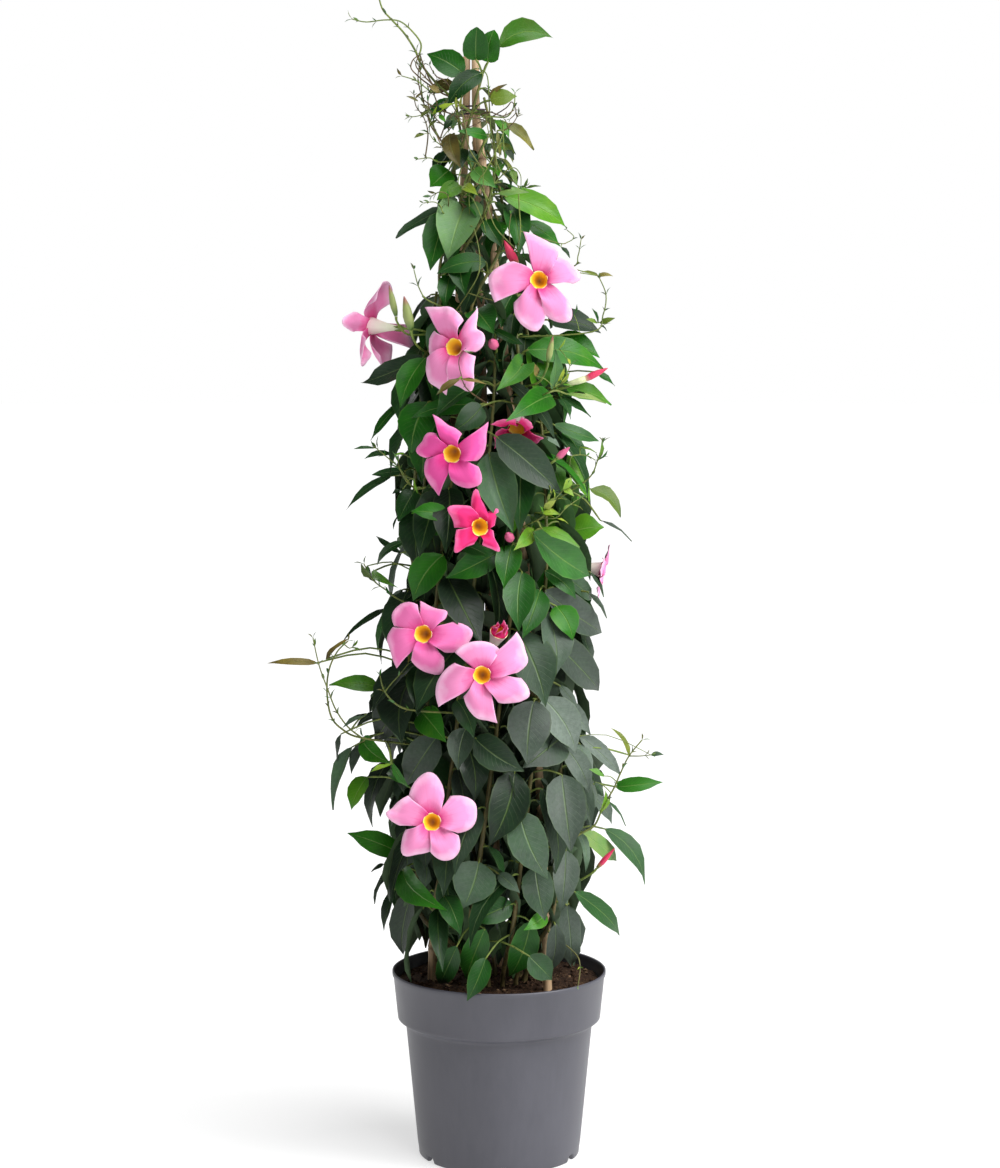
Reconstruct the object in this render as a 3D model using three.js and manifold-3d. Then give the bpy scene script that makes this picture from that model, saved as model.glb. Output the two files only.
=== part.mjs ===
// A potted mandevilla trained up a pyramid of three bamboo canes.
// Millimetres, +Z up. The origin is the middle of the pot's flat foot, and the front of the plant faces -Y.
import * as THREE from "three";
import { mergeVertices } from "three/addons/utils/BufferGeometryUtils.js";
import Module from "manifold-3d";

const wasm = await Module();
wasm.setup();

// ---------------------------------------------------------------- driving dimensions

const POT = {
  height: 210,
  rimRadius: 120, // outside, at the lip
  bandRadius: 113.5, // outside, at the foot of the rim band
  bandHeight: 55,
  neckRadius: 105, // outside, just under the band
  heelRadius: 91, // outside, where the wall turns in
  footRing: 8, // height of the ring that it stands on, under the raised floor
  hubRadius: 44, // the middle of the floor drops back to the ground
  wall: 2,
  sides: 28,
};
const DRAIN = { count: 6, width: 13, height: 7, firstAngle: -28 };
const SOIL = { level: 196, lump: 3, gap: 0.4 };
const CANE = { rootDepth: 140, baseRadius: 5, topRadius: 4, knotSpacing: 220, knotSwell: 1.1, sides: 6 };
const APEX = { height: 1164, lean: -29, spread: 6.5 }; // where the canes are drawn together
const CANES = [
  { name: "cane_left", base: [-76, 8], bow: 0, top: 1223, apexAngle: 180 },
  { name: "cane_right", base: [54, -50], bow: 18, top: 1228, apexAngle: -60 },
  { name: "cane_back", base: [0, 73], bow: 6, top: 1214, apexAngle: 60 },
];
const TIE = { wire: 1, turns: 2.5, pitch: 4, radius: 13.5, tail: 26 };

// Stems. They rise from the soil in a ring and climb side by side round the canes.
const STEM = {
  radius: 2.8,
  tipRadius: 1.5,
  rootDepth: 35,
  bend: 212, // height where a stem leaves the upright and leans out
  step: 66,
  sides: 3,
  turn: 75,
  spiral: 190,
  spiralFrom: 964,
};
const STEM_TOPS = [1202, 897, 1126, 968, 1180, 852, 1155, 918, 1190, 946, 1140, 882];
const STEM_SHELL = [
  // height, distance of the stems from the leaning axis
  [212, 34],
  [265, 89],
  [412, 88],
  [690, 82],
  [848, 68],
  [964, 46],
  [1060, 32],
  [1126, 22],
  [1204, 19],
];

// Leaves, as a blade over the straight chord from its base to its tip.
const LEAF = {
  thickness: 0.8,
  petioleWidth: 2.2,
  petioleThickness: 1.6,
  tipWidth: 1.4,
  arch: 0.1, // rise of the blade over its chord, in chord lengths
  clearance: 1.3, // free space kept round every blade
  column: 1.08, // width of a column of the picture plane, out where the front leaves hang
  petioleStart: 6, // the first stretch of a petiole, which may touch its neighbours
};
// Blade outline as [share of the length, share of the width].
const BROAD_OUTLINE = [
  [0.28, 0.93],
  [0.64, 0.84],
];
const SIMPLE_OUTLINE = [[0.42, 1]];
const SLIM_WIDTH = 20; // front blades narrower than this take the simple outline

const PAIR = {
  spacing: 96,
  firstHeight: 254,
  petiole: 15,
  tries: 14,
  drop: [34, 74],
  steepDrop: [62, 86], // for the later tries
  spread: [66, 30], // off the stem's own bearing, by turns up the stem
  spreadPlay: 16,
  sway: 28,
  lift: 30,
  top: { from: 850, span: 250, size: 0.42, petiole: 0.6, drop: 22 }, // how the leaves dwindle upwards
  length: [70, 94],
  widthShare: [0.46, 0.56],
};

// Where something branches off: half the height of the face that it takes, and the space to the next.
const BRANCH = { halfHeight: 1.6, between: 1 };

// Blooms and buds.
const BLOOM = { tube: 40, tubeRadius: 2.6, throat: 9.5, wall: 0.9, perLobe: 4, lobes: 5, socketGap: 0.5 };
const LOBE_OUTER = [0.52, 0.9, 1, 0.86]; // reach of the lobe's rim round one fifth of the bloom
const LOBE_MIDDLE = [0.88, 1, 1, 1];
const LOBE_TWIST = [0, 2.5, -1.5, -4]; // lift of the rim, as a propeller's
const STALK = { radius: 1.3, calyx: 3, calyxLength: 7, sides: 4, steps: 3, slacks: [0.45, 0.25, 0.65] };

// ---------------------------------------------------------------- materials

const FINISHES = {
  pot: { color: 0x63636c, roughness: 0.42 },
  soil: { color: 0x2e211a, roughness: 0.95 },
  cane: { color: 0xc9a179, roughness: 0.6 },
  tie: { color: 0x3a2730, roughness: 0.5 },
  leaf: { color: 0x24502c, roughness: 0.35 },
  bloom: { color: 0xf39ccb, roughness: 0.55 },
  bud: { color: 0xd8466f, roughness: 0.5 },
};

// ---------------------------------------------------------------- the sighting grid

// Places on the front are sighted from a point ahead of the plant, as the column and row of a picture plane
// and how far the place stands out from the axis towards the viewer.
const SIGHT = { distance: 3000, eyeHeight: 930, down: 5.43, focal: 2711, axisColumn: 499, axisRow: 584 };

function sighted(column, row, out) {
  const down = THREE.MathUtils.degToRad(SIGHT.down);
  const rise = SIGHT.axisRow - row;
  const forward = SIGHT.focal * Math.cos(down) + rise * Math.sin(down);
  const upward = rise * Math.cos(down) - SIGHT.focal * Math.sin(down);
  const scale = (SIGHT.distance - out) / forward;
  return new THREE.Vector3((column - SIGHT.axisColumn) * scale, -out, SIGHT.eyeHeight + upward * scale);
}

// The other way round: the column and row at which a place is seen.
function seen(place) {
  const down = THREE.MathUtils.degToRad(SIGHT.down);
  const [ahead, above] = [place.y + SIGHT.distance, place.z - SIGHT.eyeHeight];
  const depth = ahead * Math.cos(down) - above * Math.sin(down);
  const rise = ahead * Math.sin(down) + above * Math.cos(down);
  return [
    SIGHT.axisColumn + (SIGHT.focal * place.x) / depth,
    SIGHT.axisRow - (SIGHT.focal * rise) / depth,
  ];
}

// Outline of the leafy column seen from ahead: row, and the columns of its left and right edges.
const OUTLINE = [
  [180, 431, 520],
  [210, 431, 545],
  [250, 432, 562],
  [290, 438, 576],
  [320, 408, 582],
  [360, 398, 596],
  [400, 391, 580],
  [430, 386, 584],
  [470, 384, 590],
  [510, 392, 600],
  [530, 398, 602],
  [560, 386, 602],
  [600, 380, 603],
  [640, 381, 598],
  [680, 376, 582],
  [710, 368, 582],
  [740, 358, 592],
  [770, 350, 612],
  [800, 362, 606],
  [830, 384, 600],
  [860, 380, 591],
  [890, 380, 588],
  [920, 384, 590],
  [950, 394, 586],
  [1000, 398, 586],
];
const OUTLINE_LEFT = OUTLINE.map(([row, left]) => [row, left]);
const OUTLINE_RIGHT = OUTLINE.map(([row, , right]) => [row, right]);

// Blooms: place of the mouth, how far out, the way it faces (turn to the right, tilt up), petal reach, spin
// of the lobes, and how far it has opened.
const HOT_PINK = 0xee6bb0;
const DEEP_PINK = 0xe8417f;
const BLOOMS = [
  { name: "bloom_1", at: [539, 280], out: 92, turn: 10, tilt: 10, reach: 53, spin: 101, open: 1 },
  { name: "bloom_2", at: [454, 347], out: 104, turn: -26, tilt: 6, reach: 49, spin: 133, open: 0.95 },
  { name: "bloom_3", at: [371, 326], out: 6, turn: -118, tilt: 4, reach: 48, spin: 90, open: 0.9 },
  {
    name: "bloom_4", at: [452, 454], out: 122, turn: -12, tilt: -6,
    reach: 45, spin: 119, open: 1, color: HOT_PINK,
  },
  {
    name: "bloom_5", at: [480, 527], out: 122, turn: 24, tilt: 4,
    reach: 33, spin: 105, open: 0.55, color: DEEP_PINK,
  },
  { name: "bloom_6", at: [423, 634], out: 124, turn: -8, tilt: 8, reach: 48, spin: 127, open: 1 },
  { name: "bloom_7", at: [482, 675], out: 146, turn: 6, tilt: 2, reach: 53, spin: 124, open: 1 },
  {
    name: "bloom_8", at: [499, 632], out: 116, turn: 24, tilt: 46,
    reach: 26, spin: 60, open: 0.35, color: DEEP_PINK,
  },
  { name: "bloom_9", at: [432, 822], out: 138, turn: 8, tilt: 6, reach: 52, spin: 98, open: 1 },
  {
    name: "bloom_10", at: [517, 429], out: 86, turn: -12, tilt: -42,
    reach: 36, spin: 70, open: 0.75, color: DEEP_PINK,
  },
  { name: "bloom_11", at: [601, 571], out: 2, turn: 84, tilt: -12, reach: 36, spin: 40, open: 0.9 },
];

// Buds: base, tip and their distances out, with the thickest radius.
const BUDS = [
  { name: "bud_1", base: [517, 266], tip: [504, 240], out: [62, 66], radius: 5 },
  { name: "bud_2", base: [396, 316], tip: [389, 285], out: [46, 48], radius: 3.6 },
  { name: "bud_3", base: [411, 330], tip: [404, 296], out: [58, 60], radius: 5.4 },
  { name: "bud_4", base: [495, 347], tip: [491, 340], out: [84, 104], radius: 5.5 },
  { name: "bud_5", base: [583, 380], tip: [608, 368], out: [44, 44], radius: 3.8 },
  { name: "bud_6", base: [548, 362], tip: [553, 336], out: [92, 96], radius: 3.4 },
  { name: "bud_7", base: [511, 540], tip: [507, 533], out: [94, 116], radius: 5 },
  { name: "bud_8", base: [556, 459], tip: [570, 447], out: [96, 98], radius: 3.6 },
  { name: "bud_9", base: [597, 868], tip: [615, 848], out: [28, 30], radius: 3 },
];

// Thin side sprays: points of the route, each a place and how far out, and the radius at the root and tip.
const SPRAYS = [
  {
    radius: 1.5,
    route: [
      [462, 112, 22], [448, 94, 26], [437, 84, 26], [421, 64, 22], [415, 50, 20], [404, 33, 18],
      [391, 19, 16], [382, 8, 14], [377, -12, 12],
    ],
  },
  {
    radius: 1,
    route: [
      [419, 58, 21], [421, 44, 24], [411, 30, 24], [399, 21, 24], [384, 20, 24], [366, 22, 22],
      [352, 19, 20],
    ],
  },
  {
    radius: 1,
    route: [
      [470, 168, 20], [448, 150, 30], [434, 128, 30], [424, 104, 28], [421, 84, 26], [420, 66, 23],
    ],
  },
  { radius: 0.9, route: [[440, 90, 26], [432, 92, 34], [417, 81, 36], [402, 76, 36]] },
  { radius: 1, route: [[482, 120, 22], [497, 117, 30], [508, 116, 32], [514, 106, 32], [515, 93, 30]] },
  { radius: 1, route: [[449, 312, 60], [431, 302, 66], [420, 290, 66], [414, 270, 64]] },
  { radius: 1, route: [[568, 330, 60], [592, 332, 52], [603, 315, 48], [606, 295, 46], [599, 277, 46]] },
  { radius: 0.9, route: [[556, 285, 30], [571, 268, 36], [578, 256, 36], [581, 240, 36]] },
  { radius: 1.1, route: [[424, 500, 60], [410, 484, 62], [399, 468, 60], [388, 458, 58], [376, 448, 56]] },
  { radius: 1.1, route: [[575, 500, 56], [587, 480, 52], [598, 459, 50], [603, 442, 50]] },
  { radius: 1.1, route: [[424, 612, 48], [400, 600, 56], [386, 590, 56], [373, 580, 56], [364, 564, 56]] },
  {
    radius: 1.3,
    route: [
      [436, 716, 92], [420, 711, 104], [399, 706, 104], [385, 692, 98], [380, 676, 94],
    ],
  },
  {
    radius: 1.3,
    route: [
      [400, 752, 66], [362, 738, 66], [342, 729, 62], [331, 716, 58], [327, 692, 54], [329, 670, 52],
      [337, 652, 50], [348, 641, 48],
    ],
  },
  {
    radius: 1.1,
    route: [
      [364, 742, 72], [348, 727, 74], [336, 710, 70], [328, 690, 66], [319, 665, 62], [313, 638, 60],
    ],
  },
  {
    radius: 1.3,
    route: [
      [566, 846, 52], [580, 834, 58], [594, 826, 58], [601, 812, 56], [607, 800, 54], [614, 788, 52],
      [621, 772, 50], [629, 756, 48], [642, 740, 46],
    ],
  },
  { radius: 0.8, route: [[629, 757, 49], [640, 756, 54], [651, 755, 56]] },
];

// Leaves that make the front: columns and rows of the base and the tip, and the blade's width in columns.
// A last number stands the leaf further out than its neighbours.
const FRONT_LEAVES = [
  // the crown, over the cane heads
  [499, 46, 553, 38, 27],
  [476, 60, 477, 27, 19],
  [488, 62, 494, 30, 17],
  [464, 74, 427, 54, 27],
  [454, 84, 427, 93, 15],
  [481, 73, 447, 106, 21],
  [490, 100, 517, 96, 17],
  [507, 123, 534, 150, 12],
  [487, 136, 458, 131, 12],
  [450, 134, 461, 168, 14],
  [503, 144, 513, 163, 9],
  [449, 170, 430, 187, 23],
  [461, 186, 437, 200, 17],
  [474, 169, 496, 188, 18],
  [464, 185, 478, 195, 10],
  // the shoulder, down to the first blooms
  [505, 196, 567, 228, 27],
  [463, 208, 448, 259, 43],
  [446, 212, 430, 270, 30],
  [446, 208, 395, 238, 12],
  [486, 220, 502, 247, 18],
  [512, 203, 519, 256, 26],
  [528, 222, 561, 246, 20],
  [486, 262, 437, 273, 20],
  [450, 276, 445, 308, 18],
  [598, 276, 613, 276, 5],
  [598, 276, 582, 272, 5],
  [548, 320, 601, 333, 27],
  [556, 338, 600, 357, 25],
  [494, 330, 525, 346, 9],
  [528, 350, 603, 369, 27],
  [523, 364, 497, 390, 23],
  [552, 396, 508, 420, 22],
  [553, 388, 555, 349, 15, 30],
  [566, 388, 612, 404, 21],
  [596, 372, 615, 386, 9],
  [562, 395, 591, 417, 9],
  [561, 398, 571, 419, 12],
  [423, 358, 362, 383, 23],
  [425, 358, 400, 407, 25],
  [479, 405, 411, 418, 18],
  [428, 402, 411, 453, 38],
  [399, 404, 370, 440, 13],
  [482, 406, 452, 432, 24],
  [554, 425, 600, 441, 14],
  [562, 430, 585, 474, 18],
  // the waist
  [497, 437, 562, 495, 34],
  [489, 453, 513, 532, 38],
  [520, 496, 512, 534, 24],
  [562, 455, 590, 502, 20],
  [552, 461, 562, 492, 17],
  [591, 489, 621, 517, 19],
  [572, 531, 604, 527, 25],
  [391, 476, 346, 510, 11],
  [405, 471, 372, 475, 9],
  [391, 454, 364, 459, 7],
  [415, 490, 398, 521, 22],
  [440, 512, 411, 513, 15],
  [456, 519, 423, 534, 20],
  [533, 529, 514, 550, 14],
  [533, 533, 591, 576, 33],
  [462, 544, 490, 557, 14],
  [443, 555, 413, 601, 32],
  [498, 552, 446, 578, 26],
  [512, 545, 504, 588, 25],
  [522, 572, 519, 631, 31],
  [540, 590, 523, 638, 26],
  [545, 571, 576, 599, 17],
  [566, 576, 593, 600, 18],
  [545, 591, 604, 633, 32],
  [556, 606, 573, 640, 26],
  [372, 572, 397, 587, 8],
  [367, 566, 377, 583, 8],
  [401, 553, 376, 536, 6],
  [404, 542, 377, 566, 9],
  [395, 606, 378, 652, 11],
  [387, 609, 343, 640, 8],
  // below the waist
  [545, 631, 528, 666, 21],
  [551, 638, 600, 691, 34],
  [580, 632, 592, 664, 14],
  [408, 690, 375, 741, 36],
  [380, 688, 329, 685, 17],
  [386, 696, 369, 713, 14],
  [379, 713, 356, 728, 9],
  [364, 744, 351, 774, 16],
  [392, 766, 410, 787, 9],
  [421, 711, 446, 742, 28, 8],
  [457, 700, 474, 738, 21],
  [437, 737, 405, 786, 34],
  [466, 728, 458, 770, 25],
  [543, 698, 576, 753, 35],
  [560, 686, 578, 713, 10],
  [560, 698, 591, 735, 16],
  [566, 748, 589, 793, 23],
  [580, 744, 592, 782, 16],
  [534, 701, 527, 764, 42],
  [475, 738, 524, 771, 30],
  [563, 736, 523, 768, 34],
  [580, 736, 621, 775, 18],
  [362, 738, 390, 763, 21],
  [352, 747, 333, 810, 19],
  [388, 762, 371, 827, 25],
  [367, 777, 351, 810, 27],
  [515, 772, 489, 846, 38],
  [562, 775, 571, 852, 40, 24],
  [590, 794, 612, 824, 17],
  [520, 813, 548, 879, 37, 16],
  [616, 787, 663, 782, 16],
  [605, 829, 646, 884, 25],
  [583, 833, 618, 861, 20],
  [579, 832, 586, 872, 9],
  [629, 755, 611, 728, 8],
  [651, 755, 664, 755, 5],
  [317, 663, 267, 663, 8],
  [326, 659, 348, 639, 7],
  [341, 734, 338, 761, 8],
  // the skirt, over the soil
  [400, 853, 347, 833, 23],
  [403, 870, 446, 910, 27, 36],
  [412, 892, 403, 955, 27],
  [395, 889, 383, 931, 13],
  [392, 868, 374, 904, 8],
  [384, 864, 371, 872, 5],
  [444, 896, 461, 936, 22, 18],
  [479, 862, 463, 908, 42],
  [499, 874, 520, 893, 13],
  [535, 867, 545, 921, 31],
  [566, 850, 561, 911, 27],
  [567, 905, 571, 966, 25],
  [575, 892, 621, 936, 19],
  [512, 904, 470, 923, 24],
  [485, 929, 466, 979, 25],
  [531, 922, 509, 977, 27],
  [457, 946, 440, 984, 22, 34],
  [486, 958, 467, 1001, 20, 62],
  [555, 924, 545, 975, 19],
  [546, 914, 524, 930, 15],
  [529, 956, 552, 980, 24, 40],
];
// A front leaf is tried at these distances out from its own shell, nearest first, until it is clear.
const FRONT_SHIFTS = [0, 6, -6, 12, -12, 18, 24, -18, 30, 36, 44];
const FRONT_BASE_LIFT = 14; // base of a front leaf over the stems' shell
const FRONT_TIP_LIFT = 32;
// The way a front leaf's upper face looks: mostly ahead, a little up, and to the side with its own place.
const FRONT_FACING = { aside: 0.45, ahead: 55, rise: 38 };

// ---------------------------------------------------------------- small helpers

const radians = THREE.MathUtils.degToRad;
const part = new THREE.Group();

// The same stream of numbers from 0 to 1 for the same seed.
function dice(seed) {
  let state = seed >>> 0;
  return () => {
    state = (state + 0x6d2b79f5) >>> 0;
    let mixed = Math.imul(state ^ (state >>> 15), 1 | state);
    mixed = (mixed + Math.imul(mixed ^ (mixed >>> 7), 61 | mixed)) ^ mixed;
    return ((mixed ^ (mixed >>> 14)) >>> 0) / 4294967296;
  };
}

const between = (low, high, share) => low + (high - low) * share;

// Reads a table of [position, value] rows, straight from row to row.
function readOff(table, at) {
  let k = 1;
  while (k < table.length - 1 && at > table[k][0]) k++;
  const [low, high] = [table[k - 1], table[k]];
  const share = THREE.MathUtils.clamp((at - low[0]) / (high[0] - low[0]), 0, 1);
  return between(low[1], high[1], share);
}

// A closed three.js geometry as a manifold-3d solid.
function solidOf(geometry) {
  const loose = geometry.index ? geometry.toNonIndexed() : geometry;
  const bare = new THREE.BufferGeometry().setAttribute("position", loose.getAttribute("position"));
  const merged = mergeVertices(bare, 1e-4);
  return new wasm.Manifold(
    new wasm.Mesh({
      numProp: 3,
      vertProperties: merged.attributes.position.array,
      triVerts: new Uint32Array(merged.index.array),
    }),
  );
}

function geometryOf(solid) {
  const mesh = solid.getMesh();
  return new THREE.BufferGeometry()
    .setAttribute("position", new THREE.BufferAttribute(mesh.vertProperties, 3))
    .setIndex(new THREE.BufferAttribute(mesh.triVerts, 1));
}

function addMesh(name, geometry, finish, color = finish.color) {
  const material = new THREE.MeshStandardMaterial({ color, roughness: finish.roughness, metalness: 0 });
  const mesh = new THREE.Mesh(geometry, material);
  mesh.name = name;
  part.add(mesh);
  return mesh;
}

// Tangents and untwisted normals of a line through the stations.
function frames(stations) {
  const last = stations.length - 1;
  const tangents = stations.map((_, k) =>
    stations[Math.min(k + 1, last)].clone().sub(stations[Math.max(k - 1, 0)]).normalize(),
  );
  const normals = [];
  let normal = Math.abs(tangents[0].x) < 0.8 ? new THREE.Vector3(1, 0, 0) : new THREE.Vector3(0, 1, 0);
  for (const tangent of tangents) {
    normal = normal.clone().addScaledVector(tangent, -normal.dot(tangent)).normalize();
    normals.push(normal);
  }
  return { tangents, normals };
}

// A tapered limb: a closed cylinder bent through the stations, with a radius at each.
function limb(stations, radii, sides) {
  const steps = stations.length - 1;
  const geometry = new THREE.CylinderGeometry(1, 1, 1, sides, steps);
  const { tangents, normals } = frames(stations);
  const position = geometry.getAttribute("position");
  const point = new THREE.Vector3();
  for (let i = 0; i < position.count; i++) {
    const k = Math.round((position.getY(i) + 0.5) * steps);
    const binormal = tangents[k].clone().cross(normals[k]);
    point
      .copy(stations[k])
      .addScaledVector(binormal, position.getX(i) * radii[k])
      .addScaledVector(normals[k], position.getZ(i) * radii[k]);
    position.setXYZ(i, point.x, point.y, point.z);
  }
  return geometry;
}

// Everything that a new leaf has to keep clear of.
const obstacles = [];

function keep(solid) {
  obstacles.push({ solid, box: solid.boundingBox() });
}

function boxesMeet(a, b) {
  return [0, 1, 2].every((i) => a.min[i] <= b.max[i] && b.min[i] <= a.max[i]);
}

// True if the guard solid meets nothing that is kept, leaving out the solid that it grows from.
function isClear(guard, parent = null) {
  const box = guard.boundingBox();
  return obstacles.every(
    (o) => o.solid === parent || !boxesMeet(box, o.box) || guard.intersect(o.solid).isEmpty(),
  );
}

// ---------------------------------------------------------------- pot and soil

// Inner wall of the pot from the floor's middle up to the lip, pushed inwards by a gap.
function potInside(gap) {
  const wall = POT.wall + gap;
  const floor = POT.footRing + wall;
  return [
    [0, wall],
    [POT.hubRadius - wall, wall],
    [POT.hubRadius + 2 - gap, floor],
    [POT.heelRadius - 3 - wall, floor],
    [POT.heelRadius - wall, floor + 5],
    [POT.neckRadius - wall, POT.height - POT.bandHeight - 6],
    [POT.bandRadius - wall, POT.height - POT.bandHeight + 2],
    [POT.rimRadius - wall, POT.height],
  ].map(([r, z]) => new THREE.Vector2(r, z));
}

function makePot() {
  const outside = [
    [POT.rimRadius, POT.height],
    [POT.bandRadius, POT.height - POT.bandHeight],
    [POT.neckRadius, POT.height - POT.bandHeight - 7],
    [POT.heelRadius, 6],
    [POT.heelRadius - 2, 1],
    [POT.heelRadius - 5, 0],
    [POT.heelRadius - 7, POT.footRing],
    [POT.hubRadius + 2, POT.footRing],
    [POT.hubRadius, 0],
    [0, 0],
  ].map(([r, z]) => new THREE.Vector2(r, z));
  const profile = [...potInside(0), ...outside].reverse();
  const shell = solidOf(new THREE.LatheGeometry(profile, POT.sides).rotateX(Math.PI / 2));
  let drained = shell;
  for (let k = 0; k < DRAIN.count; k++) {
    const slot = new THREE.BoxGeometry(20, DRAIN.width, DRAIN.height * 2)
      .translate(POT.heelRadius, 0, 0)
      .rotateZ(radians(DRAIN.firstAngle - (k * 360) / DRAIN.count));
    drained = drained.subtract(solidOf(slot));
  }
  return drained;
}

// Height of the soil's uneven face.
function soilHeight(x, y) {
  const lumps = Math.sin(x * 0.11 + 1) * Math.cos(y * 0.13) + 0.6 * Math.sin((x + y) * 0.07 + 2);
  return SOIL.level + SOIL.lump * lumps * 0.6;
}

function makeSoil(holes) {
  const wall = potInside(SOIL.gap).filter((p) => p.y < SOIL.level - 4);
  const reach = between(POT.bandRadius, POT.rimRadius, 0.75) - POT.wall - SOIL.gap - 1;
  const face = [1, 0.72, 0.4, 0].map((share) => new THREE.Vector2(reach * share, SOIL.level));
  const geometry = new THREE.LatheGeometry([...wall, ...face], POT.sides).rotateX(Math.PI / 2);
  const position = geometry.getAttribute("position");
  for (let i = 0; i < position.count; i++) {
    if (position.getZ(i) < SOIL.level - 1) continue;
    position.setZ(i, soilHeight(position.getX(i), position.getY(i)));
  }
  return holes.reduce((soil, hole) => soil.subtract(hole), solidOf(geometry));
}

// ---------------------------------------------------------------- canes and tie

const leanAt = (z) => (APEX.lean * (z - SOIL.level)) / (APEX.height - SOIL.level);

function canePoint(cane, z) {
  const share = (z - SOIL.level) / (APEX.height - SOIL.level);
  const climb = Math.min(share, 1);
  const head = radians(cane.apexAngle);
  const bow = cane.bow * 4 * climb * (1 - climb);
  const outward = Math.atan2(cane.base[1], cane.base[0]);
  return new THREE.Vector3(
    between(cane.base[0], APEX.lean + APEX.spread * Math.cos(head), climb) + bow * Math.cos(outward),
    between(cane.base[1], APEX.spread * Math.sin(head), climb) + bow * Math.sin(outward),
    z,
  );
}

// A straight cane with a swollen knot here and there, drawn in at the apex.
function caneGeometry(cane, swell) {
  const bottom = SOIL.level - CANE.rootDepth;
  const rows = [[bottom, 0], [APEX.height, 0], [cane.top, 0]];
  for (let z = bottom + CANE.knotSpacing * 0.8; z < cane.top - 100; z += CANE.knotSpacing) {
    rows.push([z - 5, 0], [z, CANE.knotSwell], [z + 5, 0]);
  }
  rows.sort((a, b) => a[0] - b[0]);
  const radii = rows.map(([z, knot]) => {
    const taper = between(CANE.baseRadius, CANE.topRadius, (z - bottom) / (cane.top - bottom));
    return taper + knot + swell;
  });
  return limb(rows.map(([z]) => canePoint(cane, z)), radii, CANE.sides);
}

function tieGeometry() {
  const stations = [];
  const perTurn = 9;
  const count = Math.round(TIE.turns * perTurn);
  const start = APEX.height - TIE.pitch * TIE.turns * 0.5;
  for (let k = 0; k <= count; k++) {
    const angle = (k / perTurn) * 2 * Math.PI + 2;
    stations.push(
      new THREE.Vector3(
        APEX.lean + TIE.radius * Math.cos(angle),
        TIE.radius * Math.sin(angle),
        start + (TIE.pitch * k) / perTurn,
      ),
    );
  }
  const last = stations[stations.length - 1];
  const away = last.clone().setZ(0).sub(new THREE.Vector3(APEX.lean, 0, 0)).normalize();
  stations.push(last.clone().addScaledVector(away, TIE.tail * 0.4).add(new THREE.Vector3(2, -2, 3)));
  stations.push(last.clone().addScaledVector(away, TIE.tail).add(new THREE.Vector3(8, -4, 4)));
  return limb(stations, stations.map(() => TIE.wire), 4);
}

// ---------------------------------------------------------------- stems

// Azimuth of a stem at a height: a slow turn round the canes, then a tighter spiral up their heads.
function stemAngle(stem, z) {
  const climb = THREE.MathUtils.clamp((z - 250) / (STEM.spiralFrom - 250), 0, 1);
  const wind = Math.max(0, (z - STEM.spiralFrom) / (APEX.height - STEM.spiralFrom));
  return radians((stem + 0.29) * (360 / STEM_TOPS.length) + STEM.turn * climb + STEM.spiral * wind);
}

function stemPoint(stem, z) {
  const angle = stemAngle(stem, z);
  const radius = readOff(STEM_SHELL, z);
  return new THREE.Vector3(leanAt(z) + radius * Math.cos(angle), radius * Math.sin(angle), z);
}

// Centre line of a stem, from its root in the soil to its top.
function stemStations(stem) {
  const top = STEM_TOPS[stem];
  const count = Math.round((top - STEM.bend) / STEM.step);
  const stations = [stemPoint(stem, STEM.bend).setZ(SOIL.level - STEM.rootDepth)];
  for (let k = 0; k <= count; k++) stations.push(stemPoint(stem, between(STEM.bend, top, k / count)));
  return stations;
}

function stemHole(stem) {
  const foot = stemPoint(stem, STEM.bend);
  const stations = [foot.clone().setZ(SOIL.level - STEM.rootDepth), foot.clone().setZ(SOIL.level + 20)];
  return solidOf(limb(stations, stations.map(() => STEM.radius + SOIL.gap * 2), STEM.sides));
}

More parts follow.
